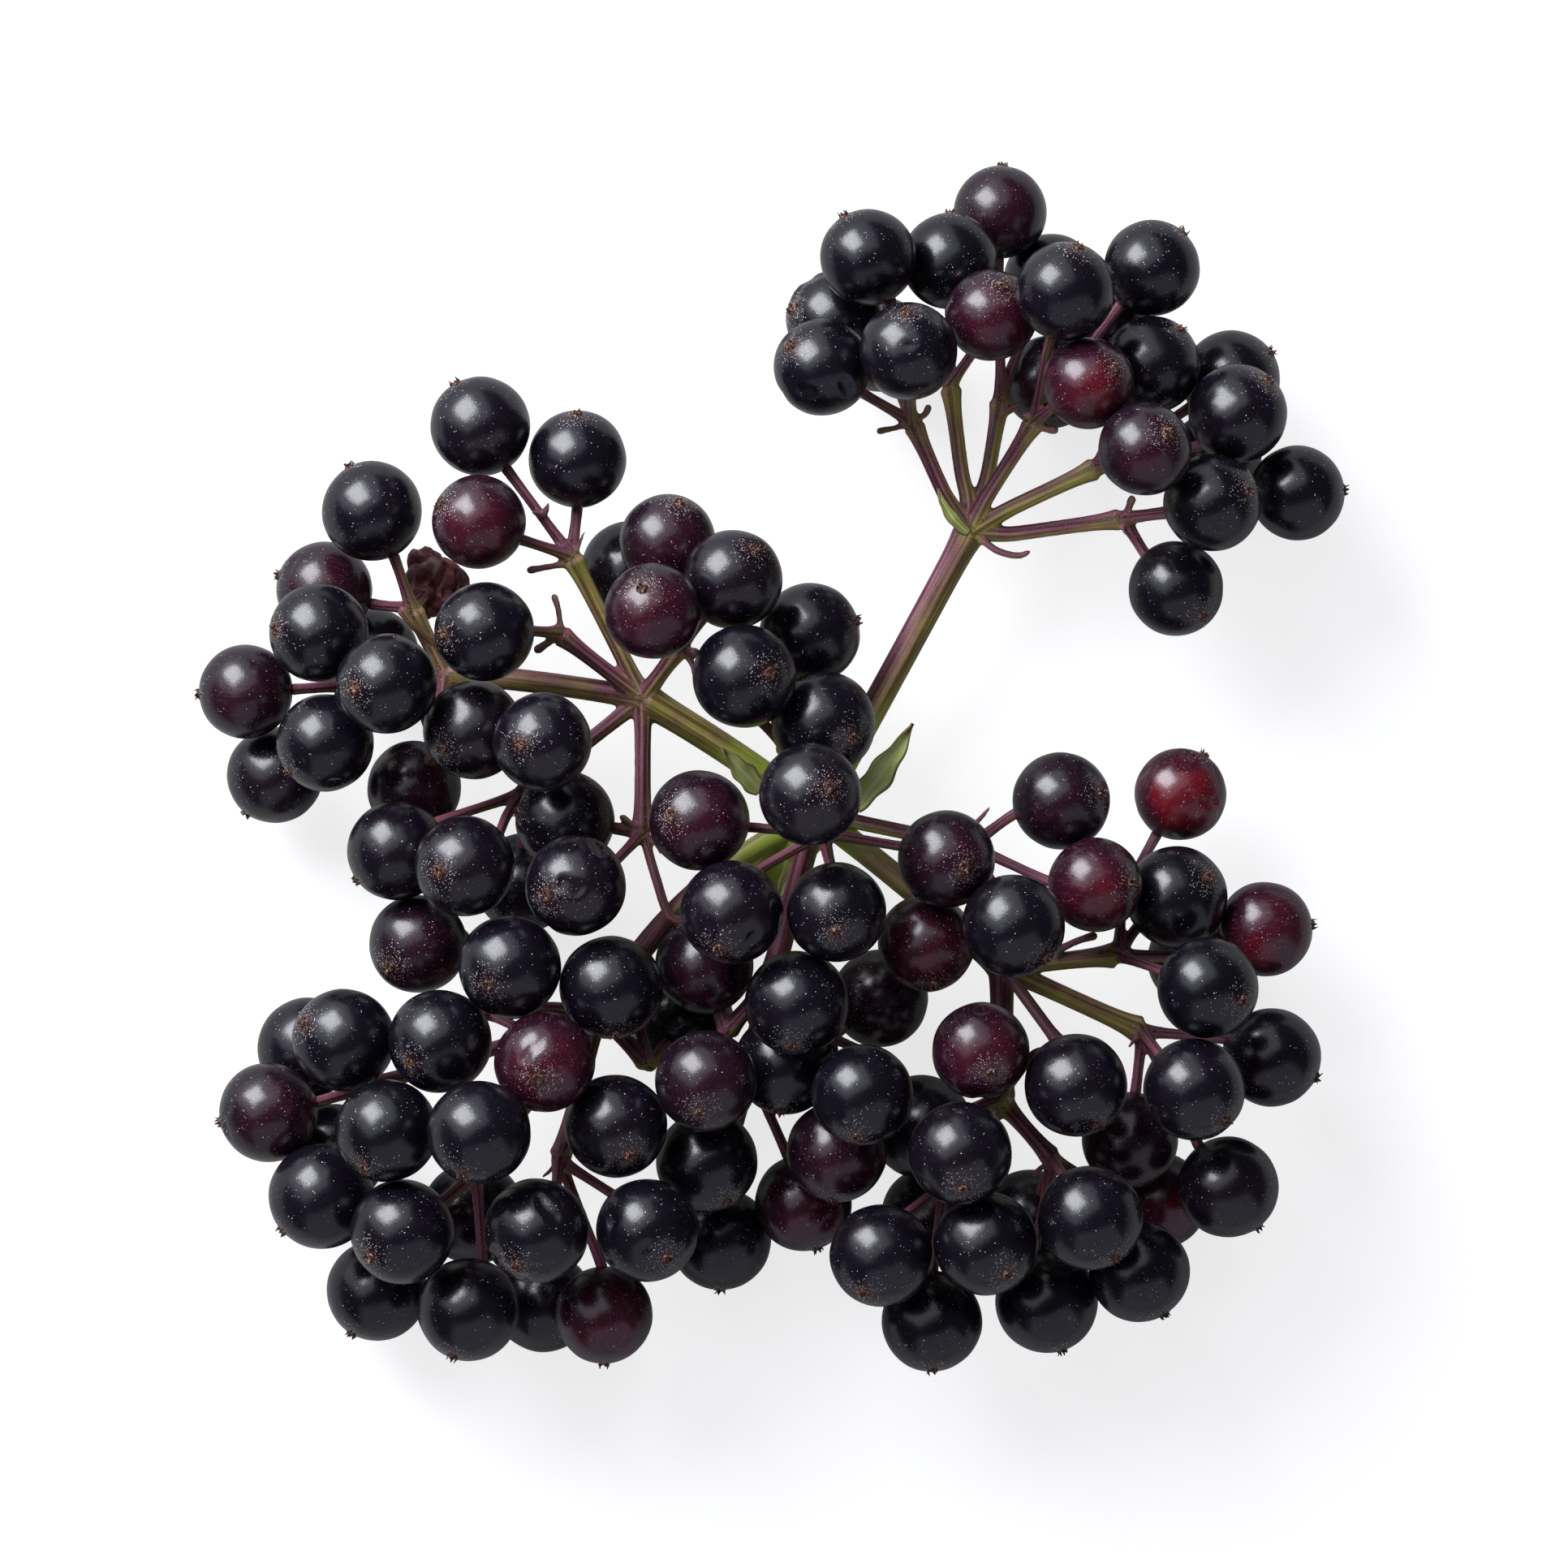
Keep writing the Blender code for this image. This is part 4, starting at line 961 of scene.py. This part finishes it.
dried_skin, tree, shader = new_material("dried berry skin", 0.7, 1.45)
place = add(tree, "ShaderNodeTexCoord").outputs["Object"]
folds = add(tree, "ShaderNodeTexNoise", {"Vector": place, "Scale": 0.9 / MM, "Detail": 4.0,
                                         "Distortion": 0.6})
colour = add(tree, "ShaderNodeValToRGB", (folds,), ((0.3, "#24110f"), (0.52, "#6a3032"), (0.72, "#9a8272")))
tree.links.new(colour.outputs[0], shader.inputs["Base Color"])
bump = add(tree, "ShaderNodeBump", {"Height": folds, "Strength": 0.7, "Distance": 0.15 * MM})
tree.links.new(bump.outputs[0], shader.inputs["Normal"])

stem_side = Vector((-0.45, 0.85, 0.25)).normalized()
for name, spray in sprays.items():
    for berry in spray:
        if berry.ripeness != WITHERED:
            continue
        bm = bmesh.new()
        bmesh.ops.create_icosphere(bm, subdivisions=5, radius=1.0)
        for vert in bm.verts:
            lump = noise.noise(vert.co * 1.1 + Vector((3, 1, 7)))
            crease = noise.noise(vert.co * 4.3 + Vector((5, 0, 0)))
            fold = abs(noise.noise(vert.co * 1.9)) + 0.5 * abs(crease)
            peak = 2.6 * max(0.0, vert.co.dot(stem_side) - 0.86)
            vert.co *= berry.radius * (1.16 + 0.32 * lump + peak - 0.85 * max(0.0, 0.36 - fold))
        bmesh.ops.translate(bm, verts=bm.verts, vec=Vector(berry.place))
        withered = put("withered_berry", mesh_from("withered_berry", bm))
        withered.data.materials.append(dried_skin)
        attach(withered, "root")
        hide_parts(name)


# --- The bracts ------------------------------------------------------------------------------------
# Small leaves under the forks: thin green blades with a pale midrib and a browned, wavy edge.

# Each bract: the CAD pieces that it stands for, its route, its width, how wavy it is, and how pale, which
# is partly its own tone and partly painted light through the thin blade.
BRACTS = {
    "leaf_bract": (["leaf_bract"], [(6.4, -3.0, 10.0), (8.4, -0.6, 11.6), (9.8, 1.4, 12.4), (11, 3.5, 13)],
                   2.1, 0.2, 1.0),
    "small_bract": (["small_bract"], [(-0.8, -1.8, 11.0), (-2.4, 0.0, 12.3), (-3.8, 1.6, 13)],
                    1.7, 0.12, 0.7),
    "fork_bract": ([], [(15.4, 18.3, 11.0), (14.2, 19.4, 11.7), (13.3, 20.8, 11.9), (13.0, 21.8, 11.7)],
                   0.9, 0.0, 0.2),
    "under_bract": ([], [(2.6, -5.0, 8.6), (1.6, -8.0, 9.0), (0.4, -10.4, 9.2)], 1.7, 0.04, 0.6),
}
BLADE_STATIONS, BLADE_COLUMNS = 24, 9
BLADE_THICKNESS = 0.16

blade_skin, tree, shader = new_material("green bract", 0.45, 1.45)
uv = add(tree, "ShaderNodeUVMap", uv_map="blade").outputs[0]
split = add(tree, "ShaderNodeSeparateXYZ", (uv,))
side = add(tree, "ShaderNodeMath", (split.outputs["X"], 0.5), operation="SUBTRACT")
side = add(tree, "ShaderNodeMath", (side,), operation="ABSOLUTE")
veins = add(tree, "ShaderNodeMapping", {"Vector": uv, "Scale": (14.0, 1.5, 1.0)})
veins = add(tree, "ShaderNodeTexNoise", {"Vector": veins, "Scale": 1.0, "Detail": 3.0})
colour = add(tree, "ShaderNodeValToRGB", (veins,), ((0.35, "#b4c860"), (0.7, "#e8f0ac")))
# Painted light: the pale yellow-greens stand partly for sun shining through the thin blade, most on the
# palest bracts; the least pale stay dark olive.
pale = add(tree, "ShaderNodeAttribute", attribute_name="pale").outputs["Fac"]
colour = add(tree, "ShaderNodeMix", {0: pale, 6: linear("#77802e"), 7: colour}, data_type="RGBA").outputs[2]
rib = add(tree, "ShaderNodeMapRange", (side, 0.07, 0.0, 0.0, 0.7))
colour = add(tree, "ShaderNodeMix", {0: rib, 6: colour, 7: linear("#e8ecbe")}, data_type="RGBA")
edge = add(tree, "ShaderNodeMapRange", (side, 0.43, 0.5, 0.0, 0.8))
tip = add(tree, "ShaderNodeMapRange", (split.outputs["Y"], 0.82, 1.0))
browned = add(tree, "ShaderNodeMath", (edge, tip), operation="MAXIMUM")
colour = add(tree, "ShaderNodeMix", {0: browned, 6: colour.outputs[2], 7: linear("#7a5c44")},
             data_type="RGBA")
tree.links.new(colour.outputs[2], shader.inputs["Base Color"])
bump = add(tree, "ShaderNodeBump", {"Height": veins, "Strength": 0.4, "Distance": 0.05 * MM})
tree.links.new(bump.outputs[0], shader.inputs["Normal"])

for name, (nodes, route, width, wave, pale) in BRACTS.items():
    route = np.array(route, float)
    total = distance_along(route)[-1]
    spine = points_at(route, np.linspace(0, total, BLADE_STATIONS))
    bm = bmesh.new()
    uv_layer = bm.loops.layers.uv.new("blade")
    grid = []
    for i, point in enumerate(spine):
        share = i / (BLADE_STATIONS - 1)
        ahead = spine[min(i + 1, BLADE_STATIONS - 1)] - spine[max(i - 1, 0)]
        across = Vector(ahead).cross(Vector((0, 0, 1))).normalized()
        half = width / 2 * max(0.06, math.sin(math.pi * (0.12 + 0.88 * share) ** 0.8))
        row = []
        for j in range(BLADE_COLUMNS):
            side = 2 * j / (BLADE_COLUMNS - 1) - 1
            ripple = wave * abs(side) ** 2 * math.sin(9 * share + (2 if side > 0 else 0))
            lift = 0.18 * width * side * side + ripple
            notch = 1 + 0.12 * math.sin(17 * share + side)
            row.append(bm.verts.new(Vector(point) + across * (half * side * notch) + Vector((0, 0, lift))))
        grid.append(row)
    for i in range(BLADE_STATIONS - 1):
        for j in range(BLADE_COLUMNS - 1):
            face = bm.faces.new((grid[i][j], grid[i][j + 1], grid[i + 1][j + 1], grid[i + 1][j]))
            corners = ((j, i), (j + 1, i), (j + 1, i + 1), (j, i + 1))
            for loop, (column, station) in zip(face.loops, corners):
                loop[uv_layer].uv = (column / (BLADE_COLUMNS - 1), station / (BLADE_STATIONS - 1))
    bmesh.ops.recalc_face_normals(bm, faces=bm.faces)
    mesh = mesh_from(name, bm)
    mesh.attributes.new("pale", "FLOAT", "POINT").data.foreach_set("value", [pale] * len(mesh.vertices))
    mesh.materials.append(blade_skin)
    blade = put(name + "_blade", mesh)
    wall = blade.modifiers.new("thickness", "SOLIDIFY")
    wall.thickness, wall.offset = BLADE_THICKNESS * MM, 0.0
    settled(blade)
    blade.data.shade_smooth()
    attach(blade, "root")
    if nodes:
        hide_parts(*nodes)


# --- The studio ------------------------------------------------------------------------------------
# The bunch lies on a pale table, under a soft box and a wide scrim at the upper left and a weak fill
# opposite. The camera looks straight down on it from well above.

TABLE_SIZE = 6.0  # metres
FOCUS = Vector((1.0, -1.2, 18.0)) * MM
CAMERA_HEIGHT = 600 * MM
VIEW_WIDTH = 120.75 * MM  # across the picture at the height of the focus
SENSOR = 36.0

table = put("table", bpy.data.meshes.new("table"))
bm = bmesh.new()
bmesh.ops.create_grid(bm, x_segments=1, y_segments=1, size=TABLE_SIZE / 2)
bm.to_mesh(table.data)
bm.free()
table_top, tree, shader = new_material("white table", 0.6, 1.45)
shader.inputs["Base Color"].default_value = linear("#a0a09e")
shader.inputs["Specular IOR Level"].default_value = 0.0
shader.inputs["Emission Color"].default_value = (1.0, 1.0, 1.0, 1.0)
rays = add(tree, "ShaderNodeLightPath")
glow = add(tree, "ShaderNodeMath", (rays.outputs["Is Camera Ray"], 0.40, 0.36), operation="MULTIPLY_ADD")
glow = add(tree, "ShaderNodeMath", (rays.outputs["Is Glossy Ray"], -0.30, glow), operation="MULTIPLY_ADD")
tree.links.new(glow.outputs[0], shader.inputs["Emission Strength"])
table.data.materials.append(table_top)

# Each soft light: where it comes from, how far away, its width and height, its power and its colour.
LIGHTS = {
    "key softbox": ((-0.53, 0.62, 0.58), 0.45, (0.27, 0.34), 3.5, "#f6f8ff"),
    "key scrim": ((-0.45, 0.62, 0.64), 0.55, (0.95, 0.95), 3.2, "#eef0ff"),
    "fill card": ((0.25, -0.85, 0.50), 0.70, (1.40, 0.90), 1.9, "#ece8ff"),
}
for name, (way, distance, size, power, hex_colour) in LIGHTS.items():
    light = bpy.data.lights.new(name, "AREA")
    light.shape, light.size, light.size_y, light.energy = "RECTANGLE", *size, power
    light.color = linear(hex_colour)[:3]
    lamp = put(name, light)
    lamp.location = FOCUS + Vector(way).normalized() * distance
    lamp.rotation_euler = Vector(way).to_track_quat("Z", "Y").to_euler()

world = bpy.data.worlds.new("studio")
world.use_nodes = True
world.node_tree.nodes["Background"].inputs["Color"].default_value = linear("#dfe6ff")
world.node_tree.nodes["Background"].inputs["Strength"].default_value = 0.06
bpy.context.scene.world = world

camera = put("camera", bpy.data.cameras.new("camera"))
camera.data.sensor_width = SENSOR
camera.data.lens = SENSOR * (CAMERA_HEIGHT - FOCUS.z) / VIEW_WIDTH
camera.data.clip_start, camera.data.clip_end = 0.01, 10.0
camera.location = (FOCUS.x, FOCUS.y, CAMERA_HEIGHT)
bpy.context.scene.camera = camera
bpy.context.scene.view_settings.view_transform = "Standard"
